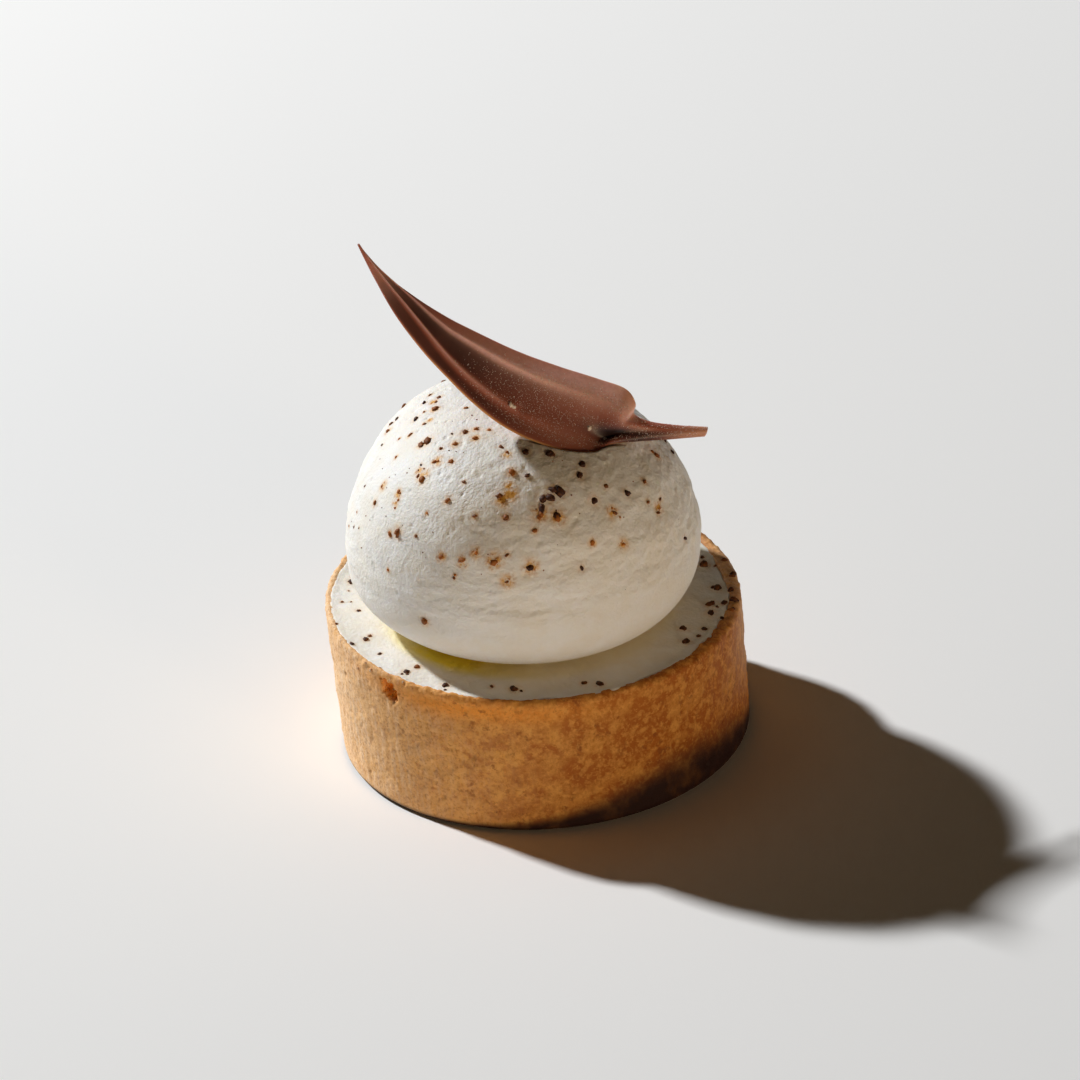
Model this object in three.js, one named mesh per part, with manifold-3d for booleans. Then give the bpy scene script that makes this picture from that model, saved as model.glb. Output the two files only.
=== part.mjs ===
// A small vanilla caramel tart: a crisp straight-sided shell filled to the brim with vanilla cream,
// a scoop of whipped cream on top, and a moulded chocolate leaf pressed into its crown.
// Millimetres, +Z up. The front of the tart faces -Y. The origin is the middle of the flat base.
import * as THREE from "three";
import { ParametricGeometry } from "three/addons/geometries/ParametricGeometry.js";
import { mergeVertices } from "three/addons/utils/BufferGeometryUtils.js";
import Module from "manifold-3d";

const wasm = await Module();
wasm.setup();

// Driving dimensions of the shell
const SHELL_RADIUS = 33;
const SHELL_HEIGHT = 24.75;
const FOOT_RADIUS = 32.8;
const FOOT_SHIFT = 0.6;
const FOOT_CORNER = 1.2;
const FLOOR_THICKNESS = 3;
const WALL_THICKNESS = 3;
const RIM_TAPER = 4;
const RIM_RISE_LEFT = 1.5;
const RIM_RISE_BACK = 1.3;
const RIM_WIDTH = 1.65;
const RIM_WIDER_RIGHT = 0.6;
const RIM_WIDER_BACK = 0.4;
const BLISTER = { x: -23.6, y: -23.2, z: 22.2, radius: 1.5 };

// Driving dimensions of the cream filling
const FILLING_HEIGHT = 24.3;
const FILLING_WAVE = 0.22;

// Driving dimensions of the whipped cream
const CREAM_RADIUS = 28;
const CREAM_WAIST = 11;
const CREAM_CROWN = 24;
const CREAM_UNDERSIDE = 12.5;
const CREAM_CENTRE = { x: -0.8, y: -1.6 };
const CREAM_LEAN = -5;
const SHOULDER_LEFT = 1.75;
const SHOULDER_RIGHT = 2.6;
const SHOULDER_FRONT = 0.5;

// Driving dimensions of the chocolate leaf
const LEAF_JOINT = new THREE.Vector3(12.6, -8.5, 56.2);
const LEAF_TIP = new THREE.Vector3(-22.2, 2, 85.8);
const LEAF_FACES = new THREE.Vector3(0.32, -0.7, 0.64);
const LEAF_THICKNESS = 1.2;
const LEAF_EDGE = 0.4;
const STEM_THICKNESS = 1.8;

// Pieces that touch keep this much clear of each other.
const GAP = 0.3;

const TURN = 2 * Math.PI;
const radians = THREE.MathUtils.degToRad;
const { lerp, smoothstep } = THREE.MathUtils;

// A small seeded generator of numbers from 0 to 1, which gives the same draw each time.
function seededDraw(seed) {
  let state = seed;
  return () => {
    state = (state + 0x6d2b79f5) | 0;
    let mixed = Math.imul(state ^ (state >>> 15), 1 | state);
    mixed = (mixed + Math.imul(mixed ^ (mixed >>> 7), 61 | mixed)) ^ mixed;
    return ((mixed ^ (mixed >>> 14)) >>> 0) / 2 ** 32;
  };
}

// A bell-shaped bump, 1 at its centre.
function bell(value, centre, width) {
  return Math.exp(-(((value - centre) / width) ** 2));
}

// A closed surface becomes a solid that can be joined and cut.
function solidOf(surface) {
  surface.deleteAttribute("normal");
  surface.deleteAttribute("uv");
  const welded = mergeVertices(surface, 1e-3);
  const corners = welded.index.array;
  const triangles = [];
  for (let i = 0; i < corners.length; i += 3) {
    const [a, b, c] = [corners[i], corners[i + 1], corners[i + 2]];
    if (a !== b && b !== c && c !== a) triangles.push(a, b, c);
  }
  const vertProperties = Float32Array.from(welded.attributes.position.array);
  const triVerts = Uint32Array.from(triangles);
  return new wasm.Manifold(new wasm.Mesh({ numProp: 3, vertProperties, triVerts }));
}

function meshOf(solid, name, look) {
  const { vertProperties, triVerts } = solid.getMesh();
  const surface = new THREE.BufferGeometry();
  surface.setAttribute("position", new THREE.BufferAttribute(vertProperties, 3));
  surface.setIndex(new THREE.BufferAttribute(triVerts, 1));
  surface.computeVertexNormals();
  const mesh = new THREE.Mesh(surface, new THREE.MeshStandardMaterial(look));
  mesh.name = name;
  return mesh;
}

// A form turned about Z. The rows run from the middle of the underside, out, up and back to the axis.
function turnedSolid(rows, segments, place) {
  const last = rows.length - 1;
  const surface = new ParametricGeometry(
    (around, along, target) => place(around * TURN, rows[Math.round(along * last)], target),
    segments,
    last,
  );
  return solidOf(surface);
}

// The rim and the filling slope a little, higher at the left and at the back.
function slopeAt(x, y) {
  return (RIM_RISE_BACK * y - RIM_RISE_LEFT * x) / SHELL_RADIUS;
}

function rimWidthAt(angle) {
  return RIM_WIDTH + RIM_WIDER_RIGHT * Math.cos(angle) + RIM_WIDER_BACK * Math.sin(angle);
}

// Shell: sweet pastry baked in a ring, with a straight uneven wall and a crumbly rim.
const SHELL_SEGMENTS = 96;
const WALL_ROWS = 9;
const RIM_ROUNDING = 0.9;
const RIM_EDGE_INSET = 0.35;
const CRUMB_HEIGHT = 0.45;
const CRUMB_DEPTH = 0.35;
const WALL_WAVES = [
  { depth: 0.2, around: 3, up: 0.1 },
  { depth: 0.12, around: 17, up: 0.85 },
];

function shellRows() {
  const rows = [{ radius: 0, z: 0 }, { radius: FOOT_RADIUS - FOOT_CORNER, z: 0 }];
  for (const turn of [30, 60, 90]) {
    const angle = radians(turn);
    const radius = FOOT_RADIUS - FOOT_CORNER * (1 - Math.sin(angle));
    rows.push({ radius, z: FOOT_CORNER * (1 - Math.cos(angle)), outer: true });
  }
  for (let i = 1; i <= WALL_ROWS; i += 1) {
    const share = i / WALL_ROWS;
    const z = lerp(FOOT_CORNER, SHELL_HEIGHT - RIM_ROUNDING, share);
    rows.push({ radius: lerp(FOOT_RADIUS, SHELL_RADIUS, share), z, outer: true });
  }
  rows.push({ inset: 0, z: SHELL_HEIGHT - 0.2, crumbly: true });
  rows.push({ inset: 0.5, z: SHELL_HEIGHT, crumbly: true });
  rows.push({ inset: 1, z: SHELL_HEIGHT - 0.35, crumbly: true });
  rows.push({ radius: SHELL_RADIUS - WALL_THICKNESS, z: SHELL_HEIGHT - RIM_TAPER });
  rows.push({ radius: SHELL_RADIUS - WALL_THICKNESS, z: FLOOR_THICKNESS });
  rows.push({ radius: 0, z: FLOOR_THICKNESS });
  return rows;
}

function turnedShell() {
  const crumbs = Array.from({ length: 3 * SHELL_SEGMENTS }, seededDraw(7));
  return turnedSolid(shellRows(), SHELL_SEGMENTS, (angle, row, target) => {
    const share = row.z / SHELL_HEIGHT;
    let { radius, z } = row;
    if (row.outer) {
      for (const { depth, around, up } of WALL_WAVES) {
        radius += depth * Math.sin(around * angle) * Math.cos(up * z) * Math.sin(share * Math.PI);
      }
    }
    if (row.crumbly) {
      const segment = Math.round((angle / TURN) * SHELL_SEGMENTS) % SHELL_SEGMENTS;
      const crumb = crumbs[segment + 2 * row.inset * SHELL_SEGMENTS];
      radius = SHELL_RADIUS - rimWidthAt(angle) * row.inset;
      if (row.inset === 0) radius -= RIM_EDGE_INSET + CRUMB_DEPTH * crumb;
      z += CRUMB_HEIGHT * (crumb - 0.6);
    }
    const x = radius * Math.cos(angle);
    const y = radius * Math.sin(angle);
    target.set(x + FOOT_SHIFT * (1 - share), y, z + slopeAt(x, y) * share);
  });
}

// A burst blister just under the rim at the front left: three shares of its radius, along, up and size.
const BLISTER_BUBBLES = [[0, 0, 1], [0.6, -0.53, 0.75], [-0.47, 0.6, 0.6]];

function cutBlister(shell) {
  const outward = Math.atan2(BLISTER.y, BLISTER.x);
  return BLISTER_BUBBLES.reduce((rest, [along, up, size]) => {
    const bubble = new THREE.IcosahedronGeometry(BLISTER.radius * size, 1);
    bubble.translate(0, BLISTER.radius * along, BLISTER.radius * up);
    bubble.rotateZ(outward);
    bubble.translate(BLISTER.x, BLISTER.y, BLISTER.z);
    return rest.subtract(solidOf(bubble));
  }, shell);
}

// Filling: it is spread level with the rim, so it slopes as the rim does.
const FILLING_SEGMENTS = 72;
const BRIM_DIP = 0.35;
const BRIM_ROWS = [0, 0.7, 2.4, 5, 8, 12];

function fillingTop(x, y) {
  const nearRim = smoothstep(Math.hypot(x, y), 20, 29);
  return FILLING_HEIGHT + slopeAt(x, y) + FILLING_WAVE * nearRim * Math.sin(x / 3 + 1) * Math.sin(y / 3.5);
}

function makeFilling() {
  const wall = SHELL_RADIUS - WALL_THICKNESS - GAP;
  const floor = FLOOR_THICKNESS + GAP;
  const rows = [{ radius: 0, z: floor }, { radius: wall, z: floor }];
  rows.push({ radius: wall, z: SHELL_HEIGHT - RIM_TAPER - GAP });
  for (const brim of BRIM_ROWS) rows.push({ brim });
  rows.push({ radius: 0 });
  return turnedSolid(rows, FILLING_SEGMENTS, (angle, row, target) => {
    const radius = row.radius ?? SHELL_RADIUS - rimWidthAt(angle) - 1.5 * GAP - row.brim;
    const x = radius * Math.cos(angle);
    const y = radius * Math.sin(angle);
    if (row.z === undefined) {
      target.set(x, y, fillingTop(x, y) - (row.brim === 0 ? BRIM_DIP : 0));
    } else {
      const share = row.z / SHELL_HEIGHT;
      target.set(x + FOOT_SHIFT * (1 - share), y, row.z + slopeAt(x, y) * share);
    }
  });
}

// Whipped cream: a soft rounded scoop, undercut all round, with a fuller right shoulder.
const CREAM_SEGMENTS = 64;
const CREAM_UPPER_ROWS = 17;
const CREAM_LOWER_ROWS = 6;
const UNDERSIDE_CURVES = [2.5, 3];
const LUMP_HEIGHT = 0.3;
const CREASE_HEIGHT = 0.16;

// How far out the surface is at a height of -1 (underside) to 1 (crown), with 0 the widest part.
function creamRadius(angle, height) {
  if (height < 0) {
    const [under, side] = UNDERSIDE_CURVES;
    return CREAM_RADIUS * (1 - (-height) ** under) ** (1 / side);
  }
  const shoulder = lerp(SHOULDER_LEFT, SHOULDER_RIGHT, (1 + Math.cos(angle)) / 2);
  const curve = shoulder + SHOULDER_FRONT * Math.sin(angle) ** 2;
  return CREAM_RADIUS * (1 - height ** curve) ** (1 / curve);
}

// Soft lumps and level creases on the upper part, while the lowest band is smooth.
function creamLumps(angle, z) {
  const lumps = Math.sin(5 * angle + 0.35 * z) * Math.sin(0.42 * z + 2 * angle);
  const creases = Math.sin(1.15 * z + 1.4 * Math.sin(3 * angle));
  return smoothstep(z, 5, 13) * (LUMP_HEIGHT * lumps + CREASE_HEIGHT * creases);
}

function creamPoint(angle, height, target) {
  const z = CREAM_WAIST + height * (height < 0 ? CREAM_UNDERSIDE : CREAM_CROWN);
  const radius = creamRadius(angle, height) + creamLumps(angle, z) * smoothstep(1 - height, 0, 0.12);
  const lean = height > 0 ? CREAM_LEAN * height ** 1.5 : 0;
  const x = CREAM_CENTRE.x + lean + radius * Math.cos(angle);
  const y = CREAM_CENTRE.y + radius * Math.sin(angle);
  return target.set(x, y, FILLING_HEIGHT + z + slopeAt(x, y) * (1 - smoothstep(z, 0, CREAM_WAIST)));
}

function makeCream() {
  const lowest = (GAP - CREAM_WAIST) / CREAM_UNDERSIDE;
  const rows = [{ middle: true }];
  for (let i = 0; i < CREAM_LOWER_ROWS; i += 1) {
    rows.push({ height: lowest * (1 - i / CREAM_LOWER_ROWS) ** 0.6 });
  }
  for (let i = 0; i <= CREAM_UPPER_ROWS; i += 1) {
    rows.push({ height: Math.sin((i / CREAM_UPPER_ROWS) * (Math.PI / 2)) });
  }
  return turnedSolid(rows, CREAM_SEGMENTS, (angle, row, target) => {
    if (!row.middle) return creamPoint(angle, row.height, target);
    const { x, y } = CREAM_CENTRE;
    return target.set(x, y, FILLING_HEIGHT + GAP + slopeAt(x, y));
  });
}

// Leaf: both edges are drawn flat, along and across, from the tip to the cut end of the stem.
const LEAF_UPPER = [
  [47.3, -0.5], [42, -1.3], [35.8, -1.1], [29.9, -0.4], [24.4, 0.8], [17.9, 2.4], [11.5, 4.5],
  [5.2, 6.8], [0.9, 8], [-1.7, 7], [-2.6, 5.7], [-5.3, 6.4], [-9.1, 8.7], [-13, 11.5],
];
const LEAF_LOWER = [
  [47.1, -0.9], [42.2, -3.3], [36.1, -5.9], [29.7, -7.7], [25, -8.5], [19.2, -9.3], [13.5, -9.5],
  [8.1, -8.7], [3, -6.9], [-0.5, -4.2], [-2.2, -1], [-5.7, 2.6], [-9.1, 5.7], [-13.6, 10],
];
const LEAF_STATIONS = LEAF_UPPER.length - 1;
const ROWS_PER_STATION = 4;
const LEAF_COLUMNS = 10;
const STEM_STATION = 9.6;
const RELIEF = {
  tipCurl: 2,
  trough: 1.1,
  vein: 0.4,
  veinSide: 0.5,
  upperFall: 0.7,
  lowerLobe: 1.7,
  upperLobe: 0.6,
  fold: 1,
  stemRoot: 0.6,
};

const leafAlong = LEAF_TIP.clone().sub(LEAF_JOINT).normalize();
const leafUp = LEAF_FACES.clone().addScaledVector(leafAlong, -LEAF_FACES.dot(leafAlong)).normalize();
const leafAcross = new THREE.Vector3().crossVectors(leafAlong, leafUp);
const leafUpperEdge = new THREE.SplineCurve(LEAF_UPPER.map(([x, y]) => new THREE.Vector2(x, y)));
const leafLowerEdge = new THREE.SplineCurve(LEAF_LOWER.map(([x, y]) => new THREE.Vector2(x, y)));

// Height of the leaf's face over its own plane. Side runs from -1 at the lower edge to 1 at the upper edge.
function leafRelief(station, side) {
  const curl = RELIEF.tipCurl * (Math.max(0, 6 - station) / 6) ** 2;
  const trough = RELIEF.trough * (1 - side * side) * bell(station, 6.2, 3.4);
  const ridges = bell(side, RELIEF.veinSide, 0.13) + bell(side, -RELIEF.veinSide, 0.13);
  const veins = RELIEF.vein * ridges * smoothstep(7.5 - station, 0, 3);
  const fall = RELIEF.upperFall * smoothstep(side, RELIEF.veinSide, 1) * smoothstep(9 - station, 0, 4);
  const lowerLobe = RELIEF.lowerLobe * Math.max(0, -side - 0.1) ** 2 * bell(station, 8.2, 1.7);
  const upperLobe = RELIEF.upperLobe * Math.max(0, side) ** 2 * bell(station, 8.7, 1.1);
  const fold = RELIEF.fold * bell(side, -0.3, 0.26) * bell(station, 9.1, 0.9);
  const stemRoot = RELIEF.stemRoot * bell(side, 0.3, 0.35) * bell(station, 9.8, 1.3);
  return curl - trough + veins - fall + lowerLobe + upperLobe - fold + stemRoot;
}

// The blade thins towards its edges and its tip, and the stem is nearly round.
function leafThickness(station, side) {
  const crown = Math.sqrt(Math.max(0.04, 1 - side ** 2));
  const blade = lerp(LEAF_EDGE, LEAF_THICKNESS, crown) * lerp(0.55, 1, smoothstep(station, 0, 4));
  return lerp(blade, STEM_THICKNESS * crown, smoothstep(station, STEM_STATION - 1.2, STEM_STATION + 0.8));
}

// Offset is how far a face lies off the leaf's middle surface, and margin how far the outline is widened.
function leafPoint(station, side, offset, margin) {
  const upper = leafUpperEdge.getPoint(station / LEAF_STATIONS);
  const lower = leafLowerEdge.getPoint(station / LEAF_STATIONS);
  const widening = 1 + (2 * margin) / upper.distanceTo(lower);
  const flat = lower.lerp(upper, (1 + side * widening) / 2);
  return LEAF_JOINT.clone()
    .addScaledVector(leafAlong, flat.x)
    .addScaledVector(leafAcross, flat.y)
    .addScaledVector(leafUp, leafRelief(station, side) + offset);
}

function leafFacePoints(face, margin, rise) {
  const points = [];
  for (let i = 0; i <= LEAF_STATIONS * ROWS_PER_STATION; i += 1) {
    for (let j = 0; j <= LEAF_COLUMNS; j += 1) {
      const station = i / ROWS_PER_STATION;
      const side = (2 * j) / LEAF_COLUMNS - 1;
      const offset = face * (leafThickness(station, side) / 2 + margin) + rise;
      points.push(leafPoint(station, side, offset, margin));
    }
  }
  return points;
}

// Both faces are split into triangles alike, and four narrow edges close the solid.
// A margin widens it all round, and a rise lifts its front face only.
function leafSolid(margin = 0, rise = 0) {
  const rows = LEAF_STATIONS * ROWS_PER_STATION;
  const stride = LEAF_COLUMNS + 1;
  const back = (rows + 1) * stride;
  const points = [...leafFacePoints(1, margin, rise), ...leafFacePoints(-1, margin, 0)];
  const corners = [];
  const quad = (a, b, c, d) => corners.push(a, b, c, a, c, d);
  for (let i = 0; i < rows; i += 1) {
    const low = i * stride;
    const high = low + LEAF_COLUMNS;
    for (let a = low; a < high; a += 1) {
      const [b, c, d] = [a + stride, a + stride + 1, a + 1];
      corners.push(a, b, c, a, c, d);
      corners.push(back + a, back + c, back + b, back + a, back + d, back + c);
    }
    quad(low, back + low, back + low + stride, low + stride);
    quad(high, high + stride, back + high + stride, back + high);
  }
  const end = rows * stride;
  for (let j = 0; j < LEAF_COLUMNS; j += 1) {
    quad(j, j + 1, back + j + 1, back + j);
    quad(end + j, back + end + j, back + end + j + 1, end + j + 1);
  }
  const surface = new THREE.BufferGeometry().setFromPoints(points);
  surface.setIndex(corners);
  return solidOf(surface);
}

// Specks of baked caramel: small rough grains, half sunk into what they lie on.
function speckAt(place, outward, size, draw) {
  const grain = new THREE.IcosahedronGeometry(1, 0);
  grain.deleteAttribute("normal");
  grain.deleteAttribute("uv");
  const rough = mergeVertices(grain, 1e-3);
  const corners = rough.attributes.position;
  for (let i = 0; i < corners.count; i += 1) {
    const push = 0.8 + 0.35 * draw();
    corners.setXYZ(i, corners.getX(i) * push, corners.getY(i) * push, corners.getZ(i) * push);
  }
  rough.scale(size, size * (0.55 + 0.3 * draw()), size * 0.5);
  rough.rotateZ(draw() * TURN);
  rough.applyQuaternion(new THREE.Quaternion().setFromUnitVectors(new THREE.Vector3(0, 0, 1), outward));
  rough.translate(place.x, place.y, place.z);
  return solidOf(rough);
}

// The largest specks on the whipped cream: degrees round it, height from 0 to 1, and size.
const CREAM_SPECKS = [
  [-141, 0.91, 0.8], [-145, 0.89, 0.6], [-127, 0.8, 0.6], [-112, 0.9, 0.45], [-97, 0.97, 0.55],
  [-111, 0.75, 0.5], [-134, 0.5, 0.75], [-74, 0.85, 0.5], [-57, 0.9, 0.65], [-48, 0.82, 0.65],
  [-53, 0.79, 0.7], [-70, 0.74, 0.9], [-75, 0.7, 0.75], [-71, 0.65, 0.6], [-41, 0.62, 0.6],
  [-55, 0.66, 0.65], [-25, 0.16, 0.5], [-70, 0.32, 0.45], [-86, 0.38, 0.6], [-97, 0.43, 0.6],
  [-125, -0.07, 0.6],
];
const CREAM_SPECKS_DRAWN = 24;

// The largest specks on the filling: degrees round it, radius, and size.
const FILLING_SPECKS = [
  [-133, 30, 0.55], [-119, 29.9, 0.6], [-98, 28.8, 0.7], [-72, 29.6, 0.7], [-36, 28.6, 0.75],
  [-29, 26.4, 0.7], [-17, 29, 0.75], [-12, 28.4, 0.8], [-2, 29.3, 0.85], [14, 28.6, 0.95],
  [-156, 29.2, 0.5], [168, 29.3, 0.8],
];
const FILLING_SPECKS_DRAWN = 12;

// Specks on the wide right part of the rim: degrees round it, and size.
const RIM_SPECKS = [[-15, 0.6], [-9, 0.7], [4, 0.6], [13, 0.55]];

const SPECK_TO_LEAF = 1.2;
const UPWARD = new THREE.Vector3(0, 0, 1);

function creamSpecks(leafMiddle) {
  const draw = seededDraw(21);
  const places = [...CREAM_SPECKS];
  for (let i = 0; i < CREAM_SPECKS_DRAWN; i += 1) {
    places.push([360 * draw(), 0.3 + 0.68 * Math.sqrt(draw()), 0.35 + 0.2 * draw()]);
  }
  const here = new THREE.Vector3();
  const beside = new THREE.Vector3();
  const above = new THREE.Vector3();
  return places.flatMap(([degrees, height, size]) => {
    const angle = radians(degrees);
    creamPoint(angle, height, here);
    creamPoint(angle + 0.01, height, beside).sub(here);
    creamPoint(angle, height + 0.01, above).sub(here);
    if (leafMiddle.some((point) => point.distanceTo(here) < size + SPECK_TO_LEAF)) return [];
    return [speckAt(here, beside.cross(above).normalize(), size, draw)];
  });
}

function fillingSpecks() {
  const draw = seededDraw(34);
  const places = [...FILLING_SPECKS];
  for (let i = 0; i < FILLING_SPECKS_DRAWN; i += 1) {
    places.push([(360 * (i + draw())) / FILLING_SPECKS_DRAWN, 27.5 + 2 * draw(), 0.35 + 0.2 * draw()]);
  }
  return places.map(([degrees, radius, size]) => {
    const x = radius * Math.cos(radians(degrees));
    const y = radius * Math.sin(radians(degrees));
    return speckAt({ x, y, z: fillingTop(x, y) }, UPWARD, size, draw);
  });
}

function rimSpecks() {
  const draw = seededDraw(55);
  return RIM_SPECKS.map(([degrees, size]) => {
    const angle = radians(degrees);
    const radius = SHELL_RADIUS - 0.45 * rimWidthAt(angle);
    const x = radius * Math.cos(angle);
    const y = radius * Math.sin(angle);
    return speckAt({ x, y, z: SHELL_HEIGHT - CRUMB_HEIGHT / 4 + slopeAt(x, y) }, UPWARD, size, draw);
  });
}

// Points all over the middle of the part of the leaf that lies on the cream.
function leafMiddlePoints() {
  const points = [];
  for (let station = 4; station <= LEAF_STATIONS; station += 0.5) {
    for (let side = -1; side <= 1; side += 0.25) points.push(leafPoint(station, side, 0, 0));
  }
  return points;
}

// The leaf presses a shallow dent into the cream, which stays open above it.
const DENT_RISE = 9;

function joined(solid, specks) {
  return specks.reduce((whole, speck) => whole.add(speck), solid);
}

const shell = joined(cutBlister(turnedShell()), rimSpecks());
const filling = joined(makeFilling(), fillingSpecks());
const dented = makeCream().subtract(leafSolid(GAP, DENT_RISE));
const cream = joined(dented, creamSpecks(leafMiddlePoints()));

const tart = new THREE.Group();
tart.add(meshOf(shell, "tart_shell", { color: 0xc08a4e, roughness: 0.85, metalness: 0 }));
tart.add(meshOf(filling, "cream_filling", { color: 0xf1eee4, roughness: 0.6, metalness: 0 }));
tart.add(meshOf(cream, "whipped_cream", { color: 0xf4f1e8, roughness: 0.7, metalness: 0 }));
tart.add(meshOf(leafSolid(), "chocolate_leaf", { color: 0x5a3226, roughness: 0.4, metalness: 0 }));

export default tart;
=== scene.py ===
# A small vanilla caramel tart: a baked shell filled to the brim with vanilla cream, a scoop of whipped
# cream on top, a milk chocolate leaf pressed into its crown, and specks of caramel over all of it.
# Sizes are in millimetres, and each mesh is scaled to metres as it is made.
import math

import bmesh
import bpy
import numpy as np
from mathutils import Matrix, Vector, noise
from mathutils.bvhtree import BVHTree


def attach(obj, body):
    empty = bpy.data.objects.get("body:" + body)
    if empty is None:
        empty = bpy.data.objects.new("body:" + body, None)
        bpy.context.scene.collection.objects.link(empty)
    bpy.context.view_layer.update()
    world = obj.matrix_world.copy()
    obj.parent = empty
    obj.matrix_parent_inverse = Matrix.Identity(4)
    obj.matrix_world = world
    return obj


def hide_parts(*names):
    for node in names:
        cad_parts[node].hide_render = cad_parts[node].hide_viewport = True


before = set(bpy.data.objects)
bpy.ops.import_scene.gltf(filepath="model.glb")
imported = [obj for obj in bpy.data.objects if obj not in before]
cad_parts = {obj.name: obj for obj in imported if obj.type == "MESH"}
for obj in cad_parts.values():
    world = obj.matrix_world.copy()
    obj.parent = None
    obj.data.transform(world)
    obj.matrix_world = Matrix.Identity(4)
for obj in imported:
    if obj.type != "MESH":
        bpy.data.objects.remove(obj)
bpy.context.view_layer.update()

MM = 0.001


# Camera. It stands 0.7 m off, in front of the tart and above it, and is rolled a few degrees. It is
# aimed so that the middle of the base comes to its own place in the frame, below the centre.
FRAME_SIDE_PIXELS = 1080
BASE_PIXEL = (543.3, 724.5)
PIXELS_PER_MM = 6.182
CAMERA_DISTANCE = 700
CAMERA_ELEVATION = math.radians(30.5)
CAMERA_ROLL = math.radians(4.62)

focal_pixels = PIXELS_PER_MM * CAMERA_DISTANCE
camera_data = bpy.data.cameras.new("camera")
camera_data.lens = focal_pixels / FRAME_SIDE_PIXELS * camera_data.sensor_width
camera_data.dof.use_dof = False
camera = bpy.data.objects.new("camera", camera_data)
bpy.context.scene.collection.objects.link(camera)
bpy.context.scene.camera = camera


def sight_line(pixel):
    """The direction of a place in the frame, in the camera's own space."""
    across = pixel[0] - FRAME_SIDE_PIXELS / 2
    down = pixel[1] - FRAME_SIDE_PIXELS / 2
    return Vector((across, -down, -focal_pixels)).normalized()


facing_base = Matrix.Rotation(math.pi / 2 - CAMERA_ELEVATION, 4, "X") @ Matrix.Rotation(-CAMERA_ROLL, 4, "Z")
aim = sight_line(BASE_PIXEL).rotation_difference(Vector((0, 0, -1))).to_matrix().to_4x4()
camera_place = Vector((0, -math.cos(CAMERA_ELEVATION), math.sin(CAMERA_ELEVATION))) * CAMERA_DISTANCE * MM
camera_matrix = Matrix.Translation(camera_place) @ facing_base @ aim
camera.matrix_world = camera_matrix


# Studio. A small softbox behind the tart at the left lights its left side and throws the leaf's shadow
# on the cream. A low warm one in front and the floor's own light fill the shade, and one high at the
# right gives the leaf its sheen. The floor is matt white board.
SOFTBOXES = {
    "key_softbox": {"towards": (-0.612, 0.495, 0.616), "side": 140, "watts": 76, "colour": "#f7fbff"},
    "low_softbox": {"towards": (0.55, -0.82, 0.06), "side": 400, "watts": 16.5, "colour": "#ffdeb0"},
    "high_softbox": {"towards": (0.6, -0.45, 0.66), "side": 500, "watts": 0.4, "colour": "#ffdcb8"},
}
SOFTBOX_DISTANCE = 2500
ROOM_COLOUR = "#ffe0b8"
ROOM_STRENGTH = 0.008
LIGHTS_AIM = Vector((0, 0, 30)) * MM
FLOOR_SIDE = 8000
FLOOR_COLOUR = "#fdfaf6"
FLOOR_ROUGHNESS = 0.9


def linear(hex_colour):
    """An sRGB hex colour as linear red, green, blue and alpha."""
    parts = [int(hex_colour[i:i + 2], 16) / 255 for i in (1, 3, 5)]
    return [c / 12.92 if c <= 0.04045 else ((c + 0.055) / 1.055) ** 2.4 for c in parts] + [1]


def add_node(tree, kind, inputs=None, **settings):
    """Adds a node with its settings. An input is a value, or the socket that is linked to it."""
    node = tree.nodes.new(kind)
    for name, value in settings.items():
        setattr(node, name, value)
    for name, value in (inputs or {}).items():
        if isinstance(value, bpy.types.NodeSocket):
            tree.links.new(value, node.inputs[name])
        else:
            node.inputs[name].default_value = value
    return node


for name, box in SOFTBOXES.items():
    lamp = bpy.data.lights.new(name, "AREA")
    lamp.shape = "SQUARE"
    lamp.size = box["side"] * MM
    lamp.energy = box["watts"]
    lamp.color = linear(box["colour"])[:3]
    softbox = bpy.data.objects.new(name, lamp)
    offset = Vector(box["towards"]).normalized() * SOFTBOX_DISTANCE * MM
    softbox.location = LIGHTS_AIM + offset
    softbox.rotation_euler = offset.to_track_quat("Z", "Y").to_euler()
    bpy.context.scene.collection.objects.link(softbox)

room = bpy.data.worlds.new("dim_room")
room.use_nodes = True
room_light = room.node_tree.nodes["Background"]
room_light.inputs["Color"].default_value = linear(ROOM_COLOUR)
room_light.inputs["Strength"].default_value = ROOM_STRENGTH
bpy.context.scene.world = room
bpy.context.scene.view_settings.view_transform = "Standard"

board = bpy.data.materials.new("matt_white_board")
board.use_nodes = True
board_surface = board.node_tree.nodes["Principled BSDF"]
board_surface.inputs["Base Color"].default_value = linear(FLOOR_COLOUR)
board_surface.inputs["Roughness"].default_value = FLOOR_ROUGHNESS
half_floor = FLOOR_SIDE / 2 * MM
floor_corners = [(x * half_floor, y * half_floor, 0) for x, y in ((-1, -1), (1, -1), (1, 1), (-1, 1))]
floor_mesh = bpy.data.meshes.new("floor")
floor_mesh.from_pydata(floor_corners, [], [(0, 1, 2, 3)])
floor_mesh.materials.append(board)
floor = bpy.data.objects.new("floor", floor_mesh)
bpy.context.scene.collection.objects.link(floor)


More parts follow.
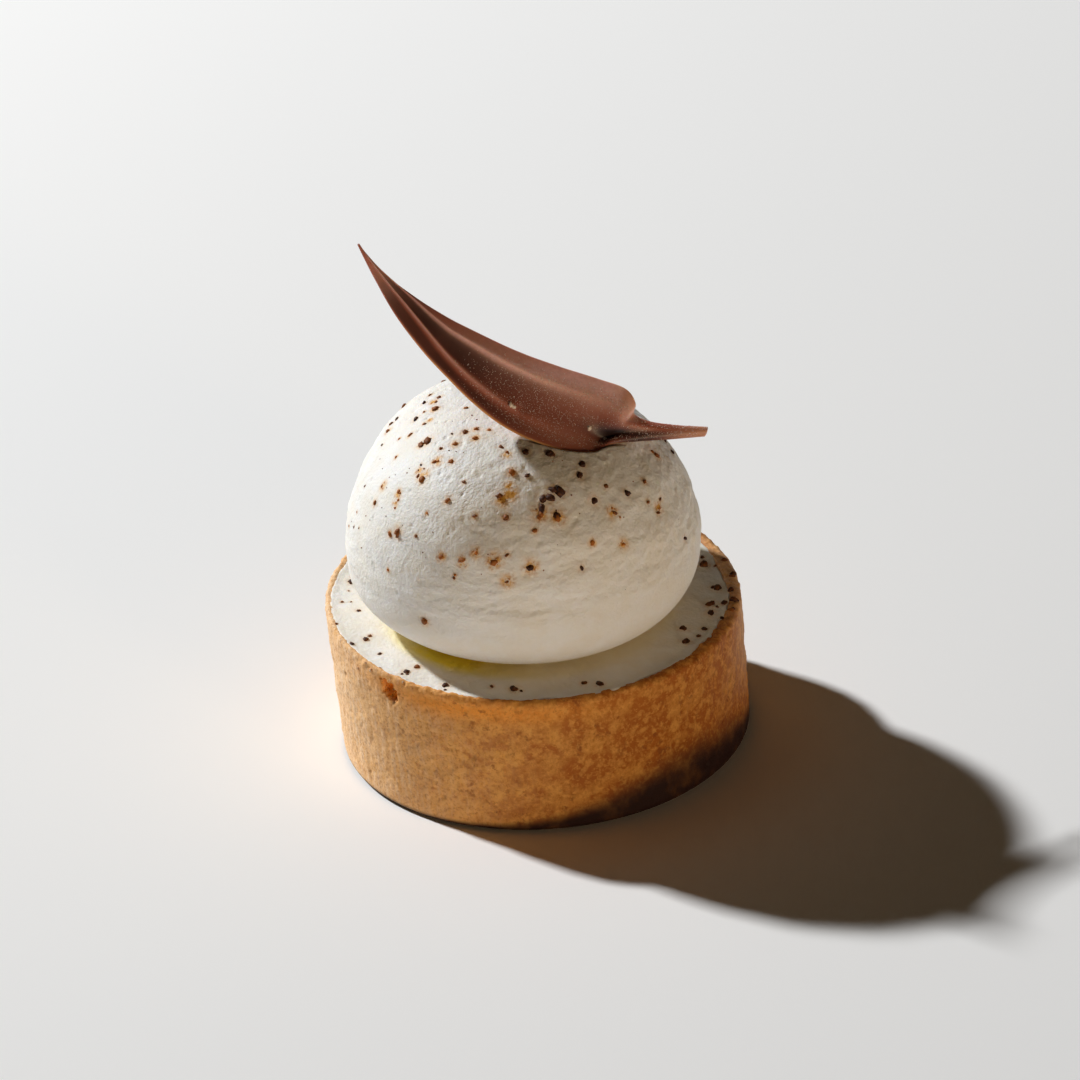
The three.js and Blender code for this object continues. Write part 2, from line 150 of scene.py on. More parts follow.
# Tart shell. Sweet shortcrust pastry, pressed into a ring and baked until golden. Its wall is straight
# with shallow waves, sandy and pitted, its cut rim is crumbly, and one blister has burst under the rim.
# It is one skin, turned about the axis ring by ring, and then roughened along its normals.
SHELL_RADIUS = 33
SHELL_HEIGHT = 24.75
FOOT_RADIUS = 32.8
FOOT_SHIFT = 0.6
FOOT_CORNER = 1.2
FLOOR_THICKNESS = 3
WALL_THICKNESS = 3
RIM_TAPER = 4
RIM_RISE_LEFT = 1.5
RIM_RISE_BACK = 1.3
RIM_WIDTH = 1.65
RIM_WIDER_RIGHT = 0.6
RIM_WIDER_BACK = 0.4
RIM_ROUNDING = 0.9
RIM_INNER_DROP = 0.35
WALL_WAVES = ((0.2, 3, 0.1), (0.12, 17, 0.85))
BLISTER = np.array((-23.6, -23.2, 22.2))
BLISTER_RADIUS = 1.5
BLISTER_BUBBLES = ((0, 0, 1), (0.6, -0.53, 0.75), (-0.47, 0.6, 0.6))
BLISTER_DEPTH = 1.1 * BLISTER_RADIUS
PIT_SPACING = 1.7
PIT_RADIUS = 0.75
PIT_DEPTH = 0.2
DEEP_PIT_SPACING = 3.0
DEEP_PIT_RADIUS = 1.2
DEEP_PIT_DEPTH = 0.35
UNDERSIDE_RADII = (10, 20, 27)
INNER_FLOOR_RADIUS = 10
CORNER_TURNS = np.radians((18, 36, 54, 72, 90))
SHELL_AROUND = 760
WALL_RINGS = 84
RIM_RINGS = 14
INSIDE_RINGS = 3
BLEND_RINGS = 6

# Each layer of relief is a depth and a grain in millimetres, and a shift that sets its noise apart.
WALL_GRAIN = ((0.09, 3.2, 0.0), (0.09, 1.3, 0.0), (0.08, 0.55, 0.0), (0.06, (1.1, 1.1, 9.0), 5.0))
RIM_CRUMBLE = ((0.16, 2.1, 3.1), (0.16, 0.8, 8.2), (0.08, 0.42, 5.2))

# Places round the tart are degrees from its right side, negative in front.
BROWNEST_PLACE = -35
PALENESS = 0.7
PALE_WIDTH = 48
DARK_FOOT_PLACE = -47
DARK_FOOT_WIDTH = 35
DARK_FOOT_HEIGHT = 9.3
DARK_LINE_HEIGHT = 1.1
GOLDEN_PLACE = -112
GOLDEN_WIDTH = 30
GOLDEN_HEIGHT = 22.4
STREAKED_PLACE = -165
STREAKED_WIDTH = 36

PASTRY_CRUST = "#fcb858"
PASTRY_BLOB = "#eba850"
PASTRY_PALE = "#ffdfba"
PASTRY_TOASTED = "#ae5f12"
PASTRY_GOLDEN = "#f89c34"
PASTRY_FLECK = "#8c4a12"
PASTRY_DARK = "#2c1412"
PASTRY_INSIDE = "#ff9a1e"


def smooth(value, low, high):
    """Rises smoothly from 0 at low to 1 at high."""
    share = np.clip((value - low) / (high - low), 0, 1)
    return share * share * (3 - 2 * share)


def bell(value, centre, width):
    """A bell-shaped bump, 1 at its centre."""
    return np.exp(-(((value - centre) / width) ** 2))


def noise_at(points, grain, shift=0.0):
    """Smooth noise from about -1 to 1, with bumps about one grain across."""
    places = (points / np.array(grain) + shift).reshape(-1, 3)
    return np.array([noise.noise(place) for place in places.tolist()]).reshape(points.shape[:-1])


def layered_noise(points, layers):
    """The sum of several layers of noise."""
    return sum(depth * noise_at(points, grain, shift) for depth, grain, shift in layers)


def pits_at(points, spacing, radius, shift=0.0):
    """1 in the middle of scattered round pits of uneven size, and 0 away from them."""
    depths = []
    for place in (points / spacing + shift).reshape(-1, 3).tolist():
        distances, centres = noise.voronoi(place)
        reach = radius / spacing * (abs(noise.cell(centres[0] * 7.3)) - 0.3)
        depths.append(max(0.0, 1 - (distances[0] / max(reach, 1e-6)) ** 2))
    return np.array(depths).reshape(points.shape[:-1])


def ring_normals(rings):
    """Outward directions on rings that run up the outside."""
    around = np.roll(rings, -1, 1) - np.roll(rings, 1, 1)
    up = np.gradient(rings, axis=0)
    outward = np.cross(around, up)
    return outward / np.maximum(np.linalg.norm(outward, axis=-1, keepdims=True), 1e-9)


def new_piece(name, points, faces, material, **attributes):
    """An object from points in millimetres, with one value at each point for each named attribute."""
    mesh = bpy.data.meshes.new(name)
    mesh.from_pydata((points * MM).tolist(), [], faces)
    for attribute, values in attributes.items():
        layer = mesh.attributes.new(attribute, "FLOAT", "POINT")
        layer.data.foreach_set("value", np.asarray(values, np.float32).ravel())
    mesh.materials.append(material)
    mesh.shade_smooth()
    piece = bpy.data.objects.new(name, mesh)
    bpy.context.scene.collection.objects.link(piece)
    return piece


def ring_faces(count, around):
    """Quads between rings, and a fan at each end round a pole: the last two points are the poles."""
    ring, column = np.mgrid[0:count - 1, 0:around]
    following = (column + 1) % around
    corners = [ring * around + column, ring * around + following]
    corners += [(ring + 1) * around + following, (ring + 1) * around + column]
    faces = np.stack(corners, -1).reshape(-1, 4).tolist()
    below = count * around
    top = (count - 1) * around
    for i in range(around):
        j = (i + 1) % around
        faces.append([below, j, i])
        faces.append([below + 1, top + i, top + j])
    return faces


def turned_piece(name, rings, underside, upside, material, **attributes):
    """A closed skin through rings of points, from the middle of its underside, out, up and in to its top."""
    points = np.concatenate([rings.reshape(-1, 3), [underside, upside]])
    values = {key: np.append(value.ravel(), (0, 0)) for key, value in attributes.items()}
    return new_piece(name, points, ring_faces(*rings.shape[:2]), material, **values)


def slope_at(x, y):
    """The rim and the filling slope a little, higher at the left and at the back."""
    return (RIM_RISE_BACK * y - RIM_RISE_LEFT * x) / SHELL_RADIUS


def rim_width_at(angle):
    return RIM_WIDTH + RIM_WIDER_RIGHT * np.cos(angle) + RIM_WIDER_BACK * np.sin(angle)


def shell_profile(angle):
    """Radius and height of each ring, from under the foot, up the wall, over the rim and down inside."""
    flat = np.ones_like(angle)
    profile = [(radius * flat, 0 * flat) for radius in (*UNDERSIDE_RADII, FOOT_RADIUS - FOOT_CORNER)]
    for turn in CORNER_TURNS:
        radius = FOOT_RADIUS - FOOT_CORNER * (1 - np.sin(turn))
        profile.append((radius * flat, FOOT_CORNER * (1 - np.cos(turn)) * flat))
    wall_height = SHELL_HEIGHT - RIM_ROUNDING - FOOT_CORNER
    for share in np.linspace(0, 1, WALL_RINGS)[1:]:
        radius = FOOT_RADIUS + (SHELL_RADIUS - FOOT_RADIUS) * share
        profile.append((radius * flat, (FOOT_CORNER + wall_height * share) * flat))
    for share in np.linspace(0, 1, RIM_RINGS)[1:]:
        fall = RIM_ROUNDING * (1 - share) ** 3 + RIM_INNER_DROP * share ** 3
        profile.append((SHELL_RADIUS - rim_width_at(angle) * share ** 1.3, SHELL_HEIGHT - fall * flat))
    inner = SHELL_RADIUS - WALL_THICKNESS
    inside = ((inner, SHELL_HEIGHT - RIM_TAPER), (inner, FLOOR_THICKNESS),
              (INNER_FLOOR_RADIUS, FLOOR_THICKNESS))
    for radius, height in inside:
        profile.append((radius * flat, height * flat))
    return profile


shell_angle = np.arange(SHELL_AROUND) / SHELL_AROUND * math.tau
shell_radius, shell_height = np.array(shell_profile(shell_angle)).transpose(1, 0, 2)
foot_rings = len(shell_radius) - WALL_RINGS - RIM_RINGS - 1
ring_number = np.arange(len(shell_radius))[:, None]
on_wall = smooth(ring_number, foot_rings, foot_rings + BLEND_RINGS)
on_wall = on_wall * (ring_number < len(shell_radius) - INSIDE_RINGS)
rim_start = foot_rings + WALL_RINGS
on_rim = smooth(ring_number, rim_start - BLEND_RINGS, rim_start) * (on_wall > 0)
on_wall = on_wall * np.ones_like(shell_radius)
on_rim = on_rim * np.ones_like(shell_radius)

height_share = shell_height / SHELL_HEIGHT
for depth, waves_around, waves_up in WALL_WAVES:
    waves = np.sin(waves_around * shell_angle) * np.cos(waves_up * shell_height)
    shell_radius = shell_radius + depth * waves * np.sin(height_share * math.pi) * on_wall * (1 - on_rim)
shell_x = shell_radius * np.cos(shell_angle)
shell_y = shell_radius * np.sin(shell_angle)
shell_z = shell_height + slope_at(shell_x, shell_y) * height_share
shell_rings = np.stack([shell_x + FOOT_SHIFT * (1 - height_share), shell_y, shell_z], -1)

outwards = ring_normals(shell_rings)
pits = pits_at(shell_rings, PIT_SPACING, PIT_RADIUS) * on_wall * (1 - on_rim)
deep_pits = pits_at(shell_rings, DEEP_PIT_SPACING, DEEP_PIT_RADIUS, 4.0) * on_wall * (1 - on_rim)
deep_pits = deep_pits * smooth(noise_at(shell_rings, 7.0, 2.5), -0.1, 0.2)
relief = on_wall * layered_noise(shell_rings, WALL_GRAIN) + on_rim * layered_noise(shell_rings, RIM_CRUMBLE)
relief = relief - PIT_DEPTH * pits - DEEP_PIT_DEPTH * deep_pits

blister = np.zeros_like(relief)
blister_outward = BLISTER * (1, 1, 0) / np.hypot(BLISTER[0], BLISTER[1])
blister_along = np.cross((0, 0, 1), blister_outward)
from_blister = shell_rings - BLISTER
ragged = 1 + 0.5 * noise_at(shell_rings, 0.9, 1.7) + 0.5 * noise_at(shell_rings, 0.45, 1.1)
for along, up, size in BLISTER_BUBBLES:
    beside = from_blister @ blister_along - along * BLISTER_RADIUS
    above = from_blister[..., 2] - up * BLISTER_RADIUS
    apart = (beside ** 2 + above ** 2) / (size * BLISTER_RADIUS * ragged) ** 2
    blister = np.maximum(blister, size * np.sqrt(np.clip(1 - apart, 0, 1)))
blister *= (from_blister @ blister_outward > -3) * on_wall
relief = relief - BLISTER_DEPTH * blister * (1 + 0.5 * noise_at(shell_rings, 0.6, 2.9))
shell_rings = shell_rings + outwards * relief[..., None]

# The left side is painted pale, partly as a paler bake and partly as painted light, and so is a patch
# high at the right. The front is browner towards the right, partly as browning and partly as painted
# shade, and its foot there is dark.
around_degrees = np.degrees(shell_angle)
around_degrees = np.where(around_degrees > 180, around_degrees - 360, around_degrees) * np.ones_like(relief)
baked = np.clip(0.33 + 0.62 * np.cos(np.radians(around_degrees - BROWNEST_PLACE)), 0, 1)
baked = np.maximum(baked, 0.5 * bell(around_degrees, 100, 55))
pale = sum(PALENESS * bell(around_degrees, side, PALE_WIDTH) for side in (-180, 180))
pale = pale + 0.55 * bell(around_degrees, 5, 22) * smooth(shell_height, 6, 16)
clean = 1 - 0.9 * np.clip(2 * pale, 0, 1)
flecked = clean * (0.15 + 0.85 * smooth(noise_at(shell_rings, 6.0, 6.5), -0.2, 0.25))
# The dark foot, high at the front right and low all round, is partly browning and partly painted shade.
foot_rise = DARK_FOOT_HEIGHT * bell(around_degrees, DARK_FOOT_PLACE, DARK_FOOT_WIDTH)
dark_height = DARK_LINE_HEIGHT + foot_rise * (1 + 0.15 * noise_at(shell_rings, 5.0, 1.5))
burnt = 1 - smooth(shell_height, 0.4 * dark_height, 1.25 * dark_height)
golden = bell(shell_height, GOLDEN_HEIGHT, 1.9) * bell(around_degrees, GOLDEN_PLACE, GOLDEN_WIDTH)
streaked = bell(around_degrees, STREAKED_PLACE, STREAKED_WIDTH)


def coated_material(name, base, coats, bump, settings):
    """A material of coats of colour over a base. Each coat is its colour, the attribute that says where it
    lies, if any, the grain of its noise in millimetres, the noise levels between which it sets in, and its
    least and its greatest share. The bump is a grain and a depth, both in millimetres."""
    material = bpy.data.materials.new(name)
    material.use_nodes = True
    tree = material.node_tree
    surface = tree.nodes["Principled BSDF"]
    for socket, value in settings.items():
        surface.inputs[socket].default_value = value
    place = add_node(tree, "ShaderNodeTexCoord").outputs["Object"]
    colour = linear(base)
    for coat_colour, where, grain, low, high, least, most in coats:
        scale = (1 / (grain * MM * np.ones(3))).tolist()
        cells = add_node(tree, "ShaderNodeMapping", {"Vector": place, "Scale": scale})
        clouds = add_node(tree, "ShaderNodeTexNoise",
                          {"Vector": cells.outputs[0], "Scale": 1.0, "Detail": 3.0, "Roughness": 0.6})
        share = add_node(tree, "ShaderNodeMapRange",
                         {0: clouds.outputs["Fac"], 1: low, 2: high, 3: least, 4: most},
                         interpolation_type="SMOOTHSTEP")
        if where:
            area = add_node(tree, "ShaderNodeAttribute", attribute_name=where)
            share = add_node(tree, "ShaderNodeMath", {0: share.outputs[0], 1: area.outputs["Fac"]},
                             operation="MULTIPLY", use_clamp=True)
        coat = add_node(tree, "ShaderNodeMix", {0: share.outputs[0], 6: colour, 7: linear(coat_colour)},
                        data_type="RGBA")
        colour = coat.outputs[2]
    tree.links.new(colour, surface.inputs["Base Color"])
    fine = add_node(tree, "ShaderNodeTexNoise", {"Vector": place, "Scale": 1 / (bump[0] * MM), "Detail": 4.0})
    rough = add_node(tree, "ShaderNodeBump", {"Height": fine.outputs["Fac"], "Distance": bump[1] * MM})
    tree.links.new(rough.outputs["Normal"], surface.inputs["Normal"])
    return material


pastry = coated_material("baked_sweet_pastry", PASTRY_CRUST, (
    # This coat is partly toasting and partly painted shade.
    (PASTRY_TOASTED, "baked", 4.5, 0.35, 0.65, 0.7, 1.5),
    (PASTRY_BLOB, None, 1.4, 0.45, 0.66, 0, 0.6),
    (PASTRY_TOASTED, None, 1.1, 0.48, 0.33, 0, 0.55),
    # This coat is partly a paler bake and partly painted light.
    (PASTRY_PALE, "pale", 2.2, 0.3, 0.7, 0.75, 1.1),
    (PASTRY_PALE, "streaked", np.array((0.8, 0.8, 5.0)), 0.47, 0.65, 0, 0.6),
    (PASTRY_GOLDEN, "golden", 1.5, 0.3, 0.7, 0.75, 1),
    (PASTRY_FLECK, "flecked", 1.5, 0.55, 0.7, 0, 0.85),
    (PASTRY_TOASTED, None, 0.5, 0.48, 0.7, 0, 0.5),
    (PASTRY_BLOB, None, 0.6, 0.5, 0.3, 0, 0.5),
    # Painted shade in the pits.
    (PASTRY_FLECK, "hollow", 0.3, 0.3, 0.6, 0.6, 0.95),
    # The dark foot: partly browning and partly painted shade.
    (PASTRY_DARK, "burnt", 4.5, 0.3, 0.55, 0.9, 1),
    (PASTRY_INSIDE, "opened", 0.5, 0.35, 0.65, 0.7, 1.1),
    (PASTRY_FLECK, "opened", 0.4, 0.54, 0.66, 0, 0.8),
), (0.42, 0.1), {"Roughness": 0.72, "Specular IOR Level": 0.3})

# The pits are painted darker, less so on the pale side: painted shade in the hollows.
shell = turned_piece("pastry_shell", shell_rings, (0, 0, 0), (0, 0, FLOOR_THICKNESS), pastry,
                     hollow=np.clip(clean * (0.25 * pits + 0.9 * deep_pits), 0, 1),
                     opened=np.clip(2.5 * blister, 0, 1),
                     flecked=flecked, baked=baked, burnt=burnt, golden=golden, streaked=streaked, pale=pale)
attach(shell, "root")
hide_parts("tart_shell")


# Cream filling. Vanilla cream poured into the shell, spread level with the rim with a knife and set.
# It laps a little over the inner edge of the rim, unevenly, and shows faint strokes of the knife.
FILLING_HEIGHT = 24.3
FILLING_WAVE = 0.22
FILLING_AROUND = 640
FILLING_CLEARANCE = 0.3
FILLING_FLOOR_RING = 12
FILLING_LAP = 0.3
LAP_LIMIT = 0.6
LAP_RISE = 0.22
BRIM_RINGS = 36
EDGE_INSETS = (0, 0.04, 0.15, 0.3)
EDGE_DROPS = (0.8, 0.3, 0.08, 0.0)
MIDDLE_INSETS = (20, 28)
KNIFE_DIRECTION = math.radians(-149)
KNIFE_STROKES = ((0.07, (0.6, 7.0, 4.0), 0.0),)
FILLING_RIPPLES = ((0.09, 2.4, 6.0), (0.05, 0.8, 9.0))
CREAM_CENTRE = (-0.8, -1.6)
UNDERCUT_PLACE = -128
UNDERCUT_WIDTH = 24
UNDERCUT_RADII = (22.5, 25.6)

CREAM_WHITE = "#f6f3ee"
CREAM_SHADE = "#f1e8d8"
AMBER_HALO = "#e4aa52"
CARAMEL_STAIN = "#b46c20"
UNDERCUT_TINT = "#ffe850"


def filling_top(x, y):
    near_rim = smooth(np.hypot(x, y), 20, 29)
    return FILLING_HEIGHT + slope_at(x, y) + FILLING_WAVE * near_rim * np.sin(x / 3 + 1) * np.sin(y / 3.5)


CREAM_COATS = (
    (CREAM_SHADE, None, 4.5, 0.3, 0.7, 0.2, 0.8),
    # Painted glow under the scoop.
    (UNDERCUT_TINT, "undercut", 3.0, 0.3, 0.7, 0.9, 1.1),
    (AMBER_HALO, "stain", 0.9, 0.36, 0.6, 0.45, 1.4),
    (CARAMEL_STAIN, "stain", 0.5, 0.5, 0.68, 0, 1.3),
)
CREAM_SURFACE = {
    "Roughness": 0.52, "Specular IOR Level": 0.3, "Subsurface Weight": 0.15,
    "Subsurface Radius": (1.0, 0.75, 0.45), "Subsurface Scale": 0.7 * MM,
}

filling_angle = np.arange(FILLING_AROUND) / FILLING_AROUND * math.tau
circle = np.stack([np.cos(filling_angle), np.sin(filling_angle), 0 * filling_angle], -1) * SHELL_RADIUS
lap = FILLING_LAP * (1 + 2.2 * noise_at(circle, 5.0, 2.0) + 0.35 * noise_at(circle, 1.5, 4.0))
lap = lap * (1 + 1.2 * bell(np.degrees(filling_angle), 262, 40))
edge_radius = np.minimum(SHELL_RADIUS - rim_width_at(filling_angle) + lap, SHELL_RADIUS - LAP_LIMIT)
wall_radius = SHELL_RADIUS - WALL_THICKNESS - FILLING_CLEARANCE
filling_floor = FLOOR_THICKNESS + FILLING_CLEARANCE
wall_top = SHELL_HEIGHT - RIM_TAPER - FILLING_CLEARANCE
body_rings = ((FILLING_FLOOR_RING, filling_floor), (wall_radius, filling_floor), (wall_radius, wall_top))
filling_rings = []
for radius, height in body_rings:
    share = height / SHELL_HEIGHT
    x = radius * np.cos(filling_angle)
    y = radius * np.sin(filling_angle)
    filling_rings.append(np.stack([x + FOOT_SHIFT * (1 - share), y, height + slope_at(x, y) * share], -1))
brim_insets = np.concatenate([EDGE_INSETS, np.linspace(0.55, 12, BRIM_RINGS), MIDDLE_INSETS])
brim_drops = np.concatenate([EDGE_DROPS, np.zeros(BRIM_RINGS + len(MIDDLE_INSETS))])
for inset, drop in zip(brim_insets, brim_drops):
    radius = edge_radius - inset - lap * min(inset, 3) / 3
    x = radius * np.cos(filling_angle)
    y = radius * np.sin(filling_angle)
    onto_rim = LAP_RISE * (1 - smooth(inset, 0.1, 1.4))
    filling_rings.append(np.stack([x, y, filling_top(x, y) + onto_rim - drop], -1))
filling_rings = np.array(filling_rings)
on_top = np.zeros(filling_rings.shape[:2])
on_top[len(body_rings) + 1:] = 1
knife = layered_noise(filling_rings @ Matrix.Rotation(KNIFE_DIRECTION, 3, "Z"), KNIFE_STROKES)
filling_rings[..., 2] += on_top * (knife + layered_noise(filling_rings, FILLING_RIPPLES))

# Close under the scoop the filling is painted yellow, most of all at the left in front: a painted glow
# of light through the cream and bounced off it.
from_scoop = np.hypot(filling_rings[..., 0] - CREAM_CENTRE[0], filling_rings[..., 1] - CREAM_CENTRE[1])
undercut_angle = np.degrees(np.arctan2(filling_rings[..., 1], filling_rings[..., 0]))
tinted = 0.12 + 0.95 * bell(undercut_angle, UNDERCUT_PLACE, UNDERCUT_WIDTH)
tinted = tinted * (1 - smooth(from_scoop, *UNDERCUT_RADII))
vanilla_cream = coated_material("set_vanilla_cream", CREAM_WHITE, CREAM_COATS, (0.6, 0.14), CREAM_SURFACE)
filling = turned_piece("vanilla_filling", filling_rings, (0, 0, filling_floor), (0, 0, FILLING_HEIGHT),
                       vanilla_cream, undercut=tinted, stain=0 * from_scoop)
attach(filling, "root")
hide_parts("cream_filling")


# Whipped cream. One big scoop set on the filling and rounded with a wet spoon: undercut all round, with
# a fuller right shoulder. Its lowest band is smooth, and above it are faint creases, wrinkles and pits,
# and slanting strokes of the spoon at the right.
CREAM_RADIUS = 28
CREAM_WAIST = 11
CREAM_CROWN = 24
CREAM_UNDERSIDE = 12.5
CREAM_SINK = 0.2
CREAM_LEAN = -5
SHOULDER_LEFT = 1.75
SHOULDER_RIGHT = 2.6
SHOULDER_FRONT = 0.5
UNDERSIDE_CURVES = (2.5, 3)
LUMP_HEIGHT = 0.15
CREASE_HEIGHT = 0.08
SOFT_LUMPS = ((0.07, 5.5, 2.0),)
LEVEL_FOLDS = ((0.13, (2.6, 2.6, 1.0), 7.0),)
WRINKLE_DEPTH = 0.21
WRINKLE_GRAIN = (2.6, 2.6, 1.7)
FINE_WRINKLES = ((0.09, (1.2, 1.2, 0.85), 1.0),)
SPOON_STROKES = ((0.1, (2.2, 0.9, 1), 3.0),)
STROKE_SLANT = math.radians(30)
CREAM_PIT_SPACING = 1.6
CREAM_PIT_RADIUS = 0.75
CREAM_PIT_DEPTH = 0.2
CREAM_AROUND = 520
CREAM_LOWER_RINGS = 50
CREAM_UPPER_RINGS = 128


def cream_radius(angle, height):
    """How far out the surface is at a height of -1 (underside) to 1 (crown), with 0 the widest part."""
    under, side = UNDERSIDE_CURVES
    below = CREAM_RADIUS * (1 - np.maximum(-height, 0) ** under) ** (1 / side)
    shoulder = SHOULDER_LEFT + (SHOULDER_RIGHT - SHOULDER_LEFT) * (1 + np.cos(angle)) / 2
    curve = shoulder + SHOULDER_FRONT * np.sin(angle) ** 2
    above = CREAM_RADIUS * (1 - np.maximum(height, 0) ** curve) ** (1 / curve)
    return np.where(height < 0, below, above)


def cream_point(angle, height):
    z = CREAM_WAIST + height * np.where(height < 0, CREAM_UNDERSIDE, CREAM_CROWN)
    lumps = LUMP_HEIGHT * np.sin(5 * angle + 0.35 * z) * np.sin(0.42 * z + 2 * angle)
    creases = CREASE_HEIGHT * np.sin(1.15 * z + 1.4 * np.sin(3 * angle))
    radius = cream_radius(angle, height) + smooth(z, 5, 13) * (lumps + creases) * smooth(1 - height, 0, 0.12)
    lean = CREAM_LEAN * np.maximum(height, 0) ** 1.5
    x = CREAM_CENTRE[0] + lean + radius * np.cos(angle)
    y = CREAM_CENTRE[1] + radius * np.sin(angle)
    return np.stack([x, y, FILLING_HEIGHT + z + slope_at(x, y) * (1 - smooth(z, 0, CREAM_WAIST))], -1)


cream_angle = np.arange(CREAM_AROUND) / CREAM_AROUND * math.tau
signed_angle = np.where(cream_angle > math.pi, cream_angle - math.tau, cream_angle)
lowest = -CREAM_SINK / CREAM_UNDERSIDE - CREAM_WAIST / CREAM_UNDERSIDE
lower_heights = lowest * (1 - np.arange(CREAM_LOWER_RINGS) / CREAM_LOWER_RINGS) ** 0.6
upper_heights = np.sin(np.arange(CREAM_UPPER_RINGS) / CREAM_UPPER_RINGS * math.pi / 2)
ring_heights = np.concatenate([lower_heights, upper_heights])
cream_rings = cream_point(cream_angle[None, :], ring_heights[:, None])
over_filling = cream_rings[..., 2] - FILLING_HEIGHT
wrinkled = smooth(over_filling, 6, 12)
mid_height = bell(over_filling, 15, 7)
soft_lumps = layered_noise(cream_rings, SOFT_LUMPS)
level_folds = layered_noise(cream_rings, LEVEL_FOLDS) * mid_height
wrinkles = WRINKLE_DEPTH * (0.3 - np.sqrt(noise_at(cream_rings, WRINKLE_GRAIN, 4.0) ** 2 + 0.015))
fine_wrinkles = layered_noise(cream_rings, FINE_WRINKLES)
around_scoop = CREAM_RADIUS * signed_angle * np.ones_like(over_filling)
along_stroke = around_scoop * math.cos(STROKE_SLANT) + over_filling * math.sin(STROKE_SLANT)
across_stroke = over_filling * math.cos(STROKE_SLANT) - around_scoop * math.sin(STROKE_SLANT)
stroke_places = np.stack([along_stroke, across_stroke, 0 * along_stroke], -1)
at_right = bell(around_scoop, -0.35 * CREAM_RADIUS, 1.0 * CREAM_RADIUS)
spoon_strokes = layered_noise(stroke_places, SPOON_STROKES) * at_right
cream_pits = CREAM_PIT_DEPTH * pits_at(cream_rings, CREAM_PIT_SPACING, CREAM_PIT_RADIUS, 3.0)
smoother_left = 0.3 + 0.7 * smooth(around_scoop / CREAM_RADIUS, -2.3, -1.2)
cream_relief = soft_lumps * smooth(over_filling, 2, 9) + level_folds
cream_relief += wrinkled * (smoother_left * (wrinkles + fine_wrinkles) + spoon_strokes - cream_pits)
cream_rings += ring_normals(cream_rings) * cream_relief[..., None]
crown = cream_point(0.0, 1.0)

whipped = coated_material("whipped_cream", CREAM_WHITE, CREAM_COATS, (0.5, 0.17), CREAM_SURFACE)
scoop_degrees = np.degrees(signed_angle)
# The scoop's lowest band is painted yellow, most at the left in front: painted glow through the cream.
scoop_tint = (0.05 + 0.35 * bell(scoop_degrees, -120, 22)) * (1 - smooth(over_filling, 0.5, 3.0))
scoop_dust = bell(scoop_degrees, -120, 65) * smooth(over_filling, 10, 28)
scoop_underside = (*CREAM_CENTRE, FILLING_HEIGHT - CREAM_SINK)
scoop = turned_piece("whipped_cream_scoop", cream_rings, scoop_underside, crown, whipped,
                     undercut=scoop_tint, stain=0 * over_filling, dusted=scoop_dust)
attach(scoop, "root")
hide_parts("whipped_cream")


# Chocolate leaf. Tempered milk chocolate, moulded thin in one piece: a long pointed blade with two raised
# veins, a folded heart-shaped base and a cut stem. It is pressed into the crown of the cream. Its outline
# is two rows of points from tip to stem, along the blade and across it, counted as stations.
LEAF_JOINT = np.array((12.6, -8.5, 56.2))
LEAF_TIP = np.array((-22.2, 2, 85.8))
LEAF_FACES = np.array((0.32, -0.7, 0.64))
LEAF_THICKNESS = 1.2
LEAF_EDGE = 0.4
STEM_THICKNESS = 1.8
STEM_STATION = 9.6
LEAF_UPPER = ((47.3, -0.5), (42, -1.3), (35.8, -1.1), (29.9, -0.4), (24.4, 0.8), (17.9, 2.4), (11.5, 4.5),
              (5.2, 6.8), (0.9, 8), (-1.7, 7), (-2.6, 5.7), (-5.3, 6.4), (-9.1, 8.7), (-13, 11.5))
LEAF_LOWER = ((47.1, -0.9), (42.2, -3.3), (36.1, -5.9), (29.7, -7.7), (25, -8.5), (19.2, -9.3), (13.5, -9.5),
              (8.1, -8.7), (3, -6.9), (-0.5, -4.2), (-2.2, -1), (-5.7, 2.6), (-9.1, 5.7), (-13.6, 10))
LEAF_ROWS = 320
LEAF_COLUMNS = 88
MIDDLE_ROWS = 200
MIDDLE_COLUMNS = 40
BUMP_PIXEL = (512, 406)
BUMP_DENT_PIXEL = (521, 411)
BUMP_RADIUS = 0.6
BUMP_HEIGHT = 0.5
BUMP_DENT_DEPTH = 0.3
CREAM_CLEARANCE = 0.02
DENT_SLOPE = 1.6

CHOCOLATE = "#ba6b56"
CHOCOLATE_DARK = "#2e1613"
CHOCOLATE_THIN = "#ffbe7c"
CHOCOLATE_SATIN = "#ffcabb"

leaf_along = (LEAF_TIP - LEAF_JOINT) / np.linalg.norm(LEAF_TIP - LEAF_JOINT)
leaf_up = LEAF_FACES - (LEAF_FACES @ leaf_along) * leaf_along
leaf_up = leaf_up / np.linalg.norm(leaf_up)
leaf_across = np.cross(leaf_along, leaf_up)
LEAF_STATIONS = len(LEAF_UPPER) - 1


def curve_through(points, station):
    """Places on a smooth curve through the points. Station 1.5 is midway from the second to the third."""
    points = np.array(points, float)
    last = len(points) - 1
    before = np.minimum(station.astype(int), last - 1)
    share = (station - before)[..., None]
    first, second = points[np.maximum(before - 1, 0)], points[before]
    third, fourth = points[before + 1], points[np.minimum(before + 2, last)]
    leaving, arriving = (third - first) / 2, (fourth - second) / 2
    cubic = 2 * second - 2 * third + leaving + arriving
    square = 3 * third - 3 * second - 2 * leaving - arriving
    return ((cubic * share + square) * share + leaving) * share + second


def vein_sides(station):
    """Where the two veins run across the blade. They leave the tip close together, near its upper edge."""
    upper = 0.47 + 0.4 * (1 - smooth(station, 0.5, 3.5))
    lower = -0.47 + 0.6 * (1 - smooth(station, 0.8, 4.5))
    return upper, lower


